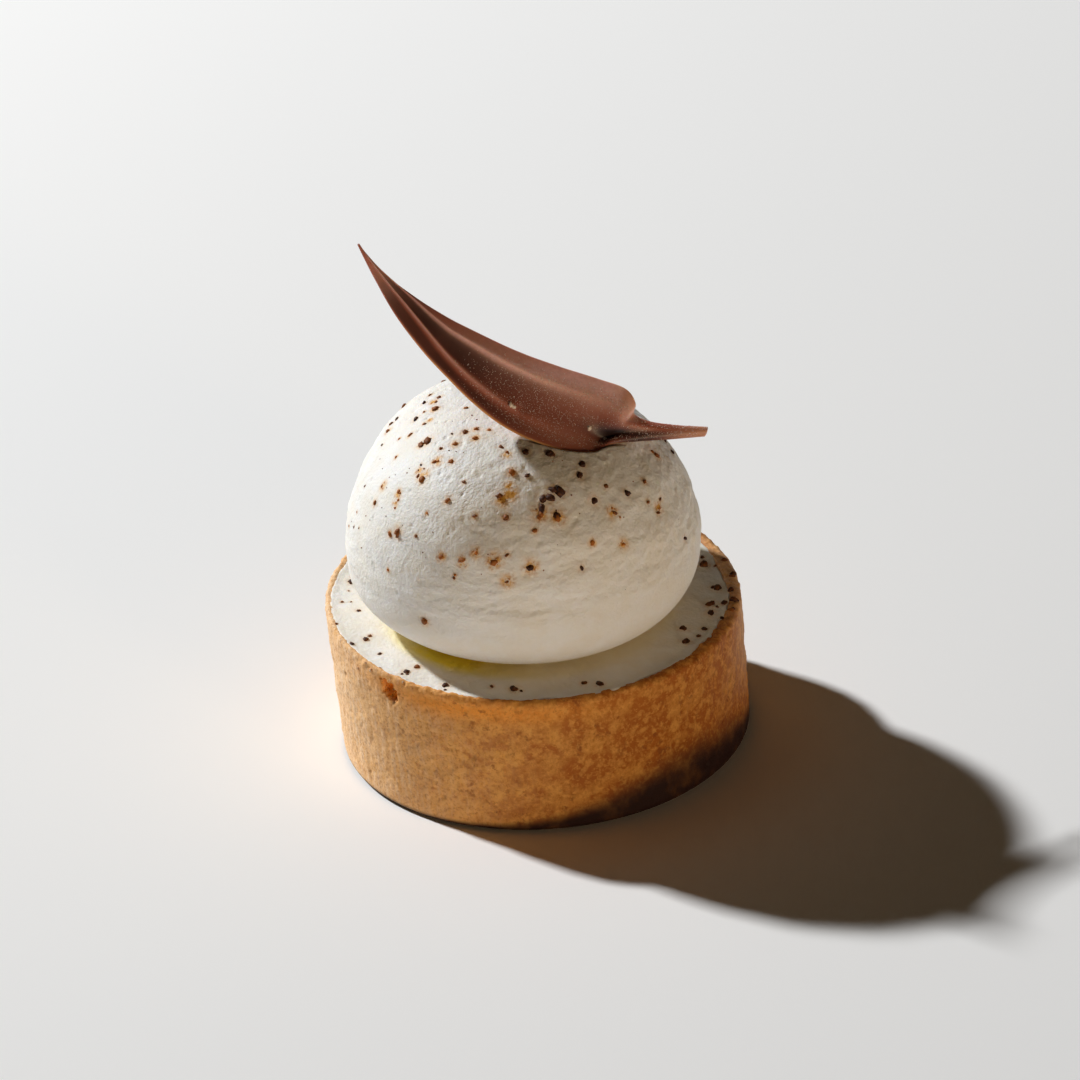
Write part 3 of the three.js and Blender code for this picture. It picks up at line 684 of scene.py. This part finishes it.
def leaf_relief(station, side):
    """Height of the face over the leaf's own plane. Side is -1 at the lower edge and 1 at the upper edge."""
    curl = 2 * (np.maximum(0, 6 - station) / 6) ** 2
    trough = 1.1 * (1 - side * side) * bell(station, 6.2, 3.4)
    vein_width = 0.04 + 0.007 * station
    upper_vein, lower_vein = vein_sides(station)
    veins = bell(side, upper_vein, vein_width) + bell(side, lower_vein, vein_width)
    veins = 0.42 * veins * smooth(8 - station, 0, 4)
    fall = 0.7 * smooth(side, 0.5, 1) * smooth(9 - station, 0, 4)
    lower_lobe = 1.7 * np.maximum(0, -side - 0.1) ** 2 * bell(station, 8.2, 1.7)
    upper_lobe = 0.6 * np.maximum(0, side) ** 2 * bell(station, 8.7, 1.1)
    fold = 1.3 * bell(side, -0.3, 0.24) * bell(station, 9.1, 0.9)
    stem_root = 0.6 * bell(side, 0.3, 0.35) * bell(station, 9.8, 1.3)
    shoulder = 1.4 * bell(side, 0.45, 0.4) * smooth(station, 2.5, 8.3) * (1 - smooth(station, 8.4, 10))
    return curl - trough + veins - fall + lower_lobe + upper_lobe - fold + stem_root + shoulder


def leaf_thickness(station, side):
    crown_share = np.sqrt(np.maximum(0.04, 1 - side ** 2))
    blade = LEAF_EDGE + (LEAF_THICKNESS - LEAF_EDGE) * crown_share
    blade = blade * (0.2 + 0.8 * smooth(station, -0.4, 3.5))
    on_stem = smooth(station, STEM_STATION - 1.2, STEM_STATION + 0.8)
    return blade + (STEM_THICKNESS * crown_share - blade) * on_stem


def leaf_place(station, side, offset):
    upper = curve_through(LEAF_UPPER, station)
    lower = curve_through(LEAF_LOWER, station)
    flat = lower + (upper - lower) * ((1 + side) / 2)[..., None]
    lift = leaf_relief(station, side) + offset
    return LEAF_JOINT + flat[..., :1] * leaf_along + flat[..., 1:] * leaf_across + lift[..., None] * leaf_up


def seen_on(skin, pixel):
    """The place on a skin that shows at a pixel of the frame, and the direction out of the skin there."""
    origin = camera_matrix.translation / MM
    spot, normal, _, _ = skin.ray_cast(origin, camera_matrix.to_3x3() @ sight_line(pixel))
    return spot, normal


middle_station, middle_side = np.meshgrid(np.linspace(0, LEAF_STATIONS, MIDDLE_ROWS),
                                          np.linspace(-1, 1, MIDDLE_COLUMNS), indexing="ij")
middle_points = leaf_place(middle_station, middle_side, 0 * middle_side).reshape(-1, 3)
i, j = np.mgrid[0:MIDDLE_ROWS - 1, 0:MIDDLE_COLUMNS - 1]
first = i * MIDDLE_COLUMNS + j
middle_corners = [first, first + 1, first + MIDDLE_COLUMNS + 1, first + MIDDLE_COLUMNS]
middle_faces = np.stack(middle_corners, -1).reshape(-1, 4)
leaf_middle = BVHTree.FromPolygons(middle_points.tolist(), middle_faces.tolist())

turn = (np.arange(2 * LEAF_COLUMNS) + 0.5) / (2 * LEAF_COLUMNS) * math.tau
leaf_side, face_share = np.meshgrid(-np.cos(turn), np.linspace(0, 1, LEAF_ROWS))
leaf_station = face_share * LEAF_STATIONS
front = np.where(turn < math.pi, 1.0, -1.0)[None, :]
edge_rounding = (1 - np.abs(leaf_side) ** 14) ** 0.5
leaf_offset = front * leaf_thickness(leaf_station, leaf_side) / 2 * edge_rounding
leaf_rings = leaf_place(leaf_station, leaf_side, leaf_offset)
leaf_ripple = 0.05 * noise_at(leaf_rings, 3.0, 5.0)
bump_spot = np.array(seen_on(leaf_middle, BUMP_PIXEL)[0])
dent_spot = np.array(seen_on(leaf_middle, BUMP_DENT_PIXEL)[0])
bump = bell(np.linalg.norm(leaf_rings - bump_spot, axis=-1), 0, BUMP_RADIUS)
dent = bell(np.linalg.norm(leaf_rings - dent_spot, axis=-1), 0, 1.6 * BUMP_RADIUS)
front_relief = (BUMP_HEIGHT * bump - BUMP_DENT_DEPTH * dent) * (front > 0)
leaf_rings += leaf_up * (leaf_ripple + front_relief)[..., None]

chocolate = coated_material("moulded_milk_chocolate", CHOCOLATE, (
    # Painted shade on the face's dark parts.
    (CHOCOLATE_DARK, "panel", 5.0, 0.3, 0.7, 0.95, 1.05),
    # A painted sheen.
    (CHOCOLATE_SATIN, "satin", 0.6, 0.3, 0.7, 0.85, 1.1),
    # A painted glow of light through the thin chocolate.
    (CHOCOLATE_THIN, "thin", 1.0, 0.3, 0.7, 0.8, 1),
), (0.5, 0.012), {
    "Roughness": 0.44, "Specular IOR Level": 0.55, "Subsurface Weight": 0.25,
    "Subsurface Radius": (1.5, 0.45, 0.15), "Subsurface Scale": 0.5 * MM,
})

upper_side, lower_side = vein_sides(leaf_station)
panel_place = (leaf_side - lower_side) / (upper_side - lower_side)
panel_share = 1 - smooth(np.abs(panel_place - 0.5), 0.28, 0.5)
panel_share = panel_share * smooth(leaf_station, 0.3, 1.5) * (1 - smooth(leaf_station, 3.5, 8.5))
low_share = smooth(lower_side - leaf_side, 0.05, 0.3) * smooth(leaf_station, 0.4, 1.8)
low_share = low_share * (1 - smooth(-leaf_side, 0.85, 1)) * (1 - smooth(leaf_station, 5, 8))
rear_share = bell(leaf_side, 0.95, 0.12) * smooth(leaf_station, 0.3, 1) * (1 - smooth(leaf_station, 1, 4))
fold_share = bell(leaf_side, -0.16, 0.25) * bell(leaf_station, 9.1, 1.4)
under_stem = smooth(-leaf_side, -0.2, 0.5) * bell(leaf_station, 11.0, 1.5)
upper_vein = bell(leaf_side, upper_side, 0.06 + 0.009 * leaf_station) * (1 - smooth(leaf_station, 5, 9))
lower_vein = bell(leaf_side, lower_side, 0.065) * (1 - smooth(leaf_station, 3.5, 6.5))
vein_share = np.clip(upper_vein + lower_vein, 0, 1) * smooth(leaf_station, 0.2, 1)
upper_share = smooth(leaf_side, 0.1, 0.6) * smooth(leaf_station, 1.5, 7) * (1 - smooth(leaf_station, 9.5, 11))
lower_lobe_share = bell(leaf_side, -0.6, 0.3) * bell(leaf_station, 7.7, 1.2)
# The thin edges, the upper lobe and the stem are painted light orange: a painted glow of light through them.
lower_edge = smooth(-leaf_side, 0.94, 0.98) * smooth(leaf_station, 1, 4)
upper_edge = smooth(leaf_side, 0.94, 0.995) * smooth(leaf_station, 5, 8)
thin_share = (0.9 * lower_edge + 0.3 * upper_edge) * (1 - smooth(leaf_station, 9, 11))
lobe_share = bell(leaf_station, 8.8, 1.0) * smooth(leaf_side, 0.4, 1)
stem_share = smooth(leaf_station, 11.5, 13)
leaf_dust = smooth(leaf_station, 3.5, 6.5) * (1 - smooth(leaf_side, 0.5, 0.9)) * smooth(leaf_side, -1, -0.6)
leaf_dust = np.maximum(leaf_dust, 0.9 * smooth(leaf_station, 9.5, 10.5) * smooth(leaf_side, 0, 0.5))
leaf_dust = leaf_dust * (1 - np.clip(1.2 * fold_share, 0, 1))
# Painted shade: the panel and lower band near the tip, the tip's rear, the fold and under the stem.
leaf_dark = 0.87 * panel_share + 0.75 * low_share + 0.4 * rear_share + 1.1 * fold_share + 0.9 * under_stem
# The whole back is evenly darker.
leaf_dark = np.where(front > 0, leaf_dark, 0.6)
# A painted sheen on the veins, the upper band, the stem, the lower lobe and the tip.
leaf_satin = 0.6 * vein_share + 0.8 * upper_share + 0.3 * stem_share + 0.2 * lower_lobe_share
leaf_satin = leaf_satin + 0.35 * bell(leaf_station, 0.9, 0.7)
leaf = turned_piece("milk_chocolate_leaf", leaf_rings, leaf_rings[0].mean(0), leaf_rings[-1].mean(0),
                    chocolate, panel=np.clip(leaf_dark, 0, 1),
                    satin=np.clip(leaf_satin * (front > 0), 0, 1),
                    thin=np.clip(thin_share + (0.35 * lobe_share + 0.3 * stem_share) * (front > 0), 0, 1),
                    dusted=leaf_dust * (front > 0))
leaf_form = bmesh.new()
leaf_form.from_mesh(leaf.data)
if leaf_form.calc_volume(signed=True) < 0:
    bmesh.ops.reverse_faces(leaf_form, faces=leaf_form.faces)
leaf_form.to_mesh(leaf.data)
leaf_form.free()
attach(leaf, "root")
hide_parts("chocolate_leaf")

half_leaf = LEAF_THICKNESS / 2 + CREAM_CLEARANCE
leaf_normal = Vector(leaf_up)
for vertex in scoop.data.vertices:
    spot = vertex.co / MM
    nearest, facing, _, apart = leaf_middle.find_nearest(spot, 5)
    if nearest is None:
        continue
    if facing.dot(leaf_normal) < 0:
        facing.negate()
    rise = (spot - nearest).dot(facing)
    beside = math.sqrt(max(0.0, apart * apart - rise * rise))
    too_high = rise + half_leaf - DENT_SLOPE * beside
    if too_high > 0:
        vertex.co = (spot - facing * too_high) * MM


# Caramel specks. Baked caramel crushed and sifted over the finished tart: rough dark grains, half sunk
# into what they lie on, with an amber stain round those that have begun to melt into the cream. The first
# lists are the grains that are also solids, and the others are placed where they show in the frame. The
# smears are stains without a grain.

# Each is a place in degrees, a height on the scoop from -1 to 1 or a radius on the filling, and a size. On
# the rim it is a place and a size.
CREAM_SPECKS = (
    (-141, 0.91, 0.8), (-145, 0.89, 0.6), (-127, 0.8, 0.6), (-112, 0.9, 0.45), (-97, 0.97, 0.55),
    (-111, 0.75, 0.5), (-134, 0.5, 0.75), (-74, 0.85, 0.5), (-57, 0.9, 0.65), (-48, 0.82, 0.65),
    (-53, 0.79, 0.7), (-70, 0.74, 0.9), (-75, 0.7, 0.75), (-71, 0.65, 0.6), (-41, 0.62, 0.6),
    (-55, 0.66, 0.65), (-25, 0.16, 0.5), (-70, 0.32, 0.45), (-86, 0.38, 0.6), (-97, 0.43, 0.6),
    (-125, -0.07, 0.6))
CREAM_SPECKS_DRAWN = 24
FILLING_SPECKS = (
    (-133, 30, 0.55), (-119, 29.9, 0.6), (-98, 28.8, 0.7), (-72, 29.6, 0.7), (-36, 28.6, 0.75),
    (-29, 26.4, 0.7), (-17, 29, 0.75), (-12, 28.4, 0.8), (-2, 29.3, 0.85), (14, 28.6, 0.95),
    (-156, 29.2, 0.5), (168, 29.3, 0.8))
FILLING_SPECKS_DRAWN = 12
RIM_SPECKS = ((-15, 0.6), (-9, 0.7), (4, 0.6), (13, 0.55))
SPECK_TO_LEAF = 1.2
CREAM_SEED = 21
FILLING_SEED = 34
RIM_SEED = 55
DRAW_STEP = 0x6D2B79F5
WORD = 0xFFFFFFFF

# Each is a pixel across, a pixel down and a size in millimetres.
DARK_PIXELS = (
    (424, 403, 0.5), (397, 419, 0.5), (416, 419, 0.6), (425, 424, 0.3), (382, 445, 0.3), (452, 434, 0.3),
    (421, 465, 0.3), (365, 486, 0.25), (526, 452, 0.7), (560, 492, 1.0), (553, 490, 0.8), (543, 499, 0.8),
    (552, 455, 0.7), (409, 400, 0.5))
BROWN_PIXELS = (
    (465, 432, 0.6), (501, 447, 0.5), (464, 482, 0.35), (475, 516, 0.45), (499, 496, 0.6), (648, 502, 0.4),
    (660, 499, 0.4), (615, 513, 0.45), (507, 555, 0.4), (507, 582, 0.35), (416, 536, 0.3), (454, 578, 0.3),
    (354, 527, 0.25), (359, 528, 0.2), (658, 513, 0.4), (421, 446, 0.5), (405, 402, 0.4))
ORANGE_PIXELS = (
    (430, 395, 0.35), (435, 409, 0.7), (388, 431, 0.5), (410, 435, 0.5), (476, 429, 0.5), (466, 408, 0.4),
    (489, 430, 0.35), (507, 452, 0.35), (434, 462, 0.45), (418, 476, 0.4), (375, 503, 0.5), (512, 472, 0.7),
    (390, 534, 0.5), (441, 557, 0.5), (462, 560, 0.6), (455, 444, 0.5), (436, 402, 0.35), (424, 424, 0.35),
    (541, 514, 0.7), (557, 518, 0.7), (424, 412, 0.3))
PALE_PIXELS = (
    (399, 439, 0.4), (396, 457, 0.45), (382, 486, 0.4), (400, 493, 0.4), (398, 500, 0.4), (395, 508, 0.35),
    (357, 512, 0.3), (427, 513, 0.4), (623, 544, 0.5), (476, 553, 0.5), (388, 570, 0.45), (438, 461, 0.4),
    (612, 508, 0.35), (620, 517, 0.3), (660, 508, 0.3), (349, 526, 0.3), (455, 575, 0.35))
SMEAR_PIXELS = (
    (503, 500, 1.3), (510, 494, 1.4), (509, 486, 0.9), (424, 474, 1.0), (419, 471, 0.8), (438, 461, 1.0),
    (398, 495, 0.8), (395, 503, 0.7), (540, 513, 1.4), (558, 517, 1.3), (455, 444, 0.8), (434, 402, 0.9),
    (462, 563, 0.9), (441, 557, 0.9), (476, 553, 1.0), (531, 567, 1.2), (494, 561, 1.4), (383, 486, 0.9),
    (613, 512, 1.1), (659, 508, 1.0), (623, 544, 0.9), (507, 581, 1.1), (430, 420, 0.6), (507, 455, 0.8))
FILLING_DARK_PIXELS = (
    (352, 644, 0.4), (402, 674, 0.3), (407, 674, 0.25), (704, 629, 0.5), (722, 618, 0.35), (724, 603, 0.6),
    (730, 590, 0.7), (717, 607, 0.4), (445, 690, 0.3), (521, 691, 0.35))
FILLING_BROWN_PIXELS = (
    (336, 624, 0.4), (417, 667, 0.6), (342, 602, 0.35), (351, 602, 0.25), (725, 581, 0.4), (349, 591, 0.25),
    (370, 636, 0.45), (715, 566, 0.4))
RIM_DARK_PIXELS = ((733, 574, 0.65), (731, 590, 0.65), (731, 562, 0.5), (733, 609, 0.45), (737, 600, 0.45))

# Each list on the scoop goes with how toasted its grains are and a scale for their sizes.
CREAM_PIXEL_LISTS = ((DARK_PIXELS, 0.95, 0.9), (BROWN_PIXELS, 0.7, 0.95), (ORANGE_PIXELS, 0.4, 0.9),
                     (PALE_PIXELS, 0.15, 0.65))

SPECK_DARK = "#3a1d0f"
SPECK_CARAMEL = "#c06e1e"


def seeded_draw(seed):
    """A small generator of numbers from 0 to 1 that gives the same draw each time."""
    state = seed
    while True:
        state = (state + DRAW_STEP) & WORD
        mixed = (state ^ (state >> 15)) * (1 | state) & WORD
        mixed = (mixed + ((mixed ^ (mixed >> 7)) * (61 | mixed) & WORD)) & WORD ^ mixed
        yield ((mixed ^ (mixed >> 14)) & WORD) / 2 ** 32


def surface_of(piece):
    """A piece's skin, to look up the nearest point on it, in millimetres."""
    points = [vertex.co / MM for vertex in piece.data.vertices]
    return BVHTree.FromPolygons(points, [face.vertices[:] for face in piece.data.polygons])


grain_form = bmesh.new()
bmesh.ops.create_icosphere(grain_form, subdivisions=2, radius=1)
grain_points = np.array([vertex.co[:] for vertex in grain_form.verts])
grain_faces = np.array([[vertex.index for vertex in face.verts] for face in grain_form.faces])
grain_form.free()


def grains(name, seats, draw, material):
    """Rough grains in one piece. Each seat is a place, the direction out, a size and how dark it is."""
    points, faces, toasted = [], [], []
    for number, (spot, outward, size, toast) in enumerate(seats):
        ruggedness = 0.95 + 0.6 * noise_at(grain_points, 0.75, 10.0 * number)
        shape = grain_points * ruggedness[:, None]
        shape = shape * (size, size * (0.6 + 0.4 * next(draw)), size * 0.6)
        turned = Matrix.Rotation(next(draw) * math.tau, 3, "Z")
        upright = Vector(outward).to_track_quat("Z", "Y").to_matrix()
        shape = shape @ np.array(upright @ turned).T
        points.append(shape + np.array(spot))
        faces.append(grain_faces + len(grain_points) * number)
        toasted.append(np.full(len(grain_points), toast))
    piece = new_piece(name, np.concatenate(points), np.concatenate(faces).tolist(), material,
                      toasted=np.concatenate(toasted))
    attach(piece, "root")
    return piece


caramel = coated_material("crushed_baked_caramel", SPECK_CARAMEL, (
    # Dark grains: toast, and painted shade on the scoop's shaded side.
    (SPECK_DARK, "toasted", 0.4, 0.35, 0.65, 0.8, 1.2),
), (0.2, 0.05), {"Roughness": 0.6, "Specular IOR Level": 0.3})

cream_skin = surface_of(scoop)
filling_skin = surface_of(filling)
shell_skin = surface_of(shell)


def seat_on(skin, spot, size, toast):
    nearest, normal, _, _ = skin.find_nearest(Vector(spot))
    return nearest, normal, size, toast


def seats_seen(skin, pixels, toast, scale=1.0):
    """Seats for grains, each given as a pixel across, a pixel down and a size in millimetres."""
    seats = []
    for across, down, size in pixels:
        spot, normal = seen_on(skin, (across, down))
        if spot is not None:
            seats.append((spot, normal, size * scale, toast))
    return seats


draw = seeded_draw(CREAM_SEED)
cream_places = list(CREAM_SPECKS)
for _ in range(CREAM_SPECKS_DRAWN):
    cream_places.append((360 * next(draw), 0.3 + 0.68 * math.sqrt(next(draw)), 0.35 + 0.2 * next(draw)))
cream_seats = []
for degrees, height, size in cream_places:
    spot = cream_point(math.radians(degrees), height)
    _, _, _, apart = leaf_middle.find_nearest(Vector(spot))
    toast = 0.25 + 0.5 * next(draw)
    # The grains in front and at the right, on the shaded side, are made the darkest: painted shade.
    if -90 < degrees < 60:
        toast = 1.0
    if apart > size + SPECK_TO_LEAF:
        cream_seats.append(seat_on(cream_skin, spot, size, toast))
for pixels, toast, scale in CREAM_PIXEL_LISTS:
    cream_seats += seats_seen(cream_skin, pixels, toast, scale)
grains("caramel_specks_on_cream", cream_seats, draw, caramel)

draw = seeded_draw(FILLING_SEED)
filling_places = list(FILLING_SPECKS)
for i in range(FILLING_SPECKS_DRAWN):
    degrees = 360 * (i + next(draw)) / FILLING_SPECKS_DRAWN
    filling_places.append((degrees, 27.5 + 2 * next(draw), 0.35 + 0.2 * next(draw)))
filling_seats = []
for degrees, radius, size in filling_places:
    x = radius * math.cos(math.radians(degrees))
    y = radius * math.sin(math.radians(degrees))
    filling_seats.append(seat_on(filling_skin, (x, y, filling_top(x, y)), size, 0.8 + 0.2 * next(draw)))
filling_seats += seats_seen(filling_skin, FILLING_DARK_PIXELS, 0.95, 1.0)
filling_seats += seats_seen(filling_skin, FILLING_BROWN_PIXELS, 0.6, 0.8)
grains("caramel_specks_on_filling", filling_seats, draw, caramel)

draw = seeded_draw(RIM_SEED)
rim_seats = []
for degrees, size in RIM_SPECKS:
    angle = math.radians(degrees)
    radius = SHELL_RADIUS - 0.45 * rim_width_at(angle)
    x = radius * math.cos(angle)
    y = radius * math.sin(angle)
    rim_seats.append(seat_on(shell_skin, (x, y, SHELL_HEIGHT + slope_at(x, y)), size, next(draw)))
rim_seats += seats_seen(shell_skin, RIM_DARK_PIXELS, 0.95)
grains("caramel_specks_on_rim", rim_seats, draw, caramel)


def write_stains(piece, seats, spread):
    """Writes how strongly each point of a piece is stained by the specks round it."""
    points = np.array([vertex.co[:] for vertex in piece.data.vertices]) / MM
    stained = np.zeros(len(points))
    for spot, _, size, toast in seats:
        apart = np.linalg.norm(points - np.array(spot), axis=1)
        stained = np.maximum(stained, (1 - 0.6 * toast) * np.exp(-(apart / (spread * size)) ** 2))
    piece.data.attributes["stain"].data.foreach_set("value", stained.astype(np.float32))


smears = seats_seen(cream_skin, SMEAR_PIXELS, 0.0, 0.6)
write_stains(scoop, cream_seats + smears, 1.5)
write_stains(filling, filling_seats, 1.4)


# Crumbs and dust. Pale crumbs of pastry lie on the cut rim, and three of sugar on the leaf. The finest
# caramel powder is sifted over the cream, and a pale powder over the leaf: tiny grains scattered by a
# seeded rule, densest where the surface's own share of dust is high.
RIM_CRUMB_PIXELS = (
    (644, 675, 0.28), (652, 672, 0.2), (665, 666, 0.3), (673, 662, 0.3), (684, 658, 0.26), (691, 655, 0.24),
    (358, 668, 0.3), (366, 663, 0.25), (371, 670, 0.35), (380, 668, 0.25), (390, 680, 0.2), (403, 682, 0.25))
LEAF_CRUMB_PIXELS = ((589, 428, 0.42), (511, 405, 0.55), (514, 407, 0.45))
CRUMB_COLOUR = "#efd0a6"
SUGAR_COLOUR = "#fff0e2"
GOLD_DUST = {"per_square_mm": 14, "radius": 0.062, "seed": 3, "colour": "#fff4ec"}
CARAMEL_DUST = {"per_square_mm": 0.05, "radius": 0.13, "seed": 8, "colour": "#96501a"}
SMALLEST_GRAIN = 0.4
LARGEST_GRAIN = 1.3

crumb_pastry = coated_material("pale_pastry_crumbs", CRUMB_COLOUR, (
    (PASTRY_TOASTED, None, 0.3, 0.3, 0.7, 0, 1),
), (0.2, 0.05), {"Roughness": 0.7})
sugar = coated_material("sugar_crumbs", SUGAR_COLOUR, (
    (CRUMB_COLOUR, None, 0.3, 0.4, 0.7, 0, 0.6),
), (0.2, 0.02), {"Roughness": 0.35})

leaf_skin = surface_of(leaf)
grains("pastry_crumbs_on_rim", seats_seen(shell_skin, RIM_CRUMB_PIXELS, 0.0), draw, crumb_pastry)
grains("sugar_crumbs_on_leaf", seats_seen(leaf_skin, LEAF_CRUMB_PIXELS, 0.0), draw, sugar)

dusting = bpy.data.node_groups.new("sifted_dust", "GeometryNodeTree")
dust_inputs = {"Geometry": "NodeSocketGeometry", "Grains per square metre": "NodeSocketFloat",
               "Grain radius": "NodeSocketFloat", "Seed": "NodeSocketInt", "Material": "NodeSocketMaterial"}
for name, kind in dust_inputs.items():
    dusting.interface.new_socket(name, in_out="INPUT", socket_type=kind)
dusting.interface.new_socket("Geometry", in_out="OUTPUT", socket_type="NodeSocketGeometry")
given = add_node(dusting, "NodeGroupInput").outputs
share = add_node(dusting, "GeometryNodeInputNamedAttribute", {"Name": "dusted"}, data_type="FLOAT")
density = add_node(dusting, "ShaderNodeMath",
                   {0: share.outputs["Attribute"], 1: given["Grains per square metre"]}, operation="MULTIPLY")
scattered = add_node(dusting, "GeometryNodeDistributePointsOnFaces",
                     {"Mesh": given["Geometry"], "Density": density.outputs[0], "Seed": given["Seed"]})
ball = add_node(dusting, "GeometryNodeMeshIcoSphere", {"Radius": given["Grain radius"], "Subdivisions": 1})
uneven = add_node(dusting, "FunctionNodeRandomValue",
                  {2: SMALLEST_GRAIN, 3: LARGEST_GRAIN, "Seed": given["Seed"]}, data_type="FLOAT")
grain_copies = add_node(dusting, "GeometryNodeInstanceOnPoints", {
    "Points": scattered.outputs["Points"], "Instance": ball.outputs["Mesh"],
    "Rotation": scattered.outputs["Rotation"], "Scale": uneven.outputs[1]})
made_real = add_node(dusting, "GeometryNodeRealizeInstances", {"Geometry": grain_copies.outputs["Instances"]})
finished = add_node(dusting, "GeometryNodeSetMaterial",
                    {"Geometry": made_real.outputs["Geometry"], "Material": given["Material"]})
add_node(dusting, "NodeGroupOutput", {"Geometry": finished.outputs["Geometry"]})


def sift(name, carrier, dust, material):
    """Scatters dust on a copy of a piece, and keeps the grains alone as a mesh of their own."""
    duster = bpy.data.objects.new(name + "_duster", carrier.data)
    bpy.context.scene.collection.objects.link(duster)
    modifier = duster.modifiers.new("dusting", "NODES")
    modifier.node_group = dusting
    settings = {"Grains per square metre": dust["per_square_mm"] / MM ** 2,
                "Grain radius": dust["radius"] * MM, "Seed": dust["seed"], "Material": material}
    for item in dusting.interface.items_tree:
        if item.in_out == "INPUT" and item.name in settings:
            modifier[item.identifier] = settings[item.name]
    sifted = duster.evaluated_get(bpy.context.evaluated_depsgraph_get())
    mesh = bpy.data.meshes.new_from_object(sifted)
    mesh.name = name
    bpy.data.objects.remove(duster)
    piece = bpy.data.objects.new(name, mesh)
    bpy.context.scene.collection.objects.link(piece)
    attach(piece, "root")
    return piece


golden_powder = coated_material("golden_powder", GOLD_DUST["colour"], (
    (CHOCOLATE, None, 0.3, 0.42, 0.58, 0, 0.9),
), (0.2, 0.01), {"Roughness": 0.5})
caramel_powder = coated_material("caramel_powder", CARAMEL_DUST["colour"], (
    (SPECK_DARK, None, 0.8, 0.4, 0.6, 0, 0.7),
), (0.2, 0.01), {"Roughness": 0.5})
sift("golden_dust_on_leaf", leaf, GOLD_DUST, golden_powder)
sift("caramel_dust_on_cream", scoop, CARAMEL_DUST, caramel_powder)
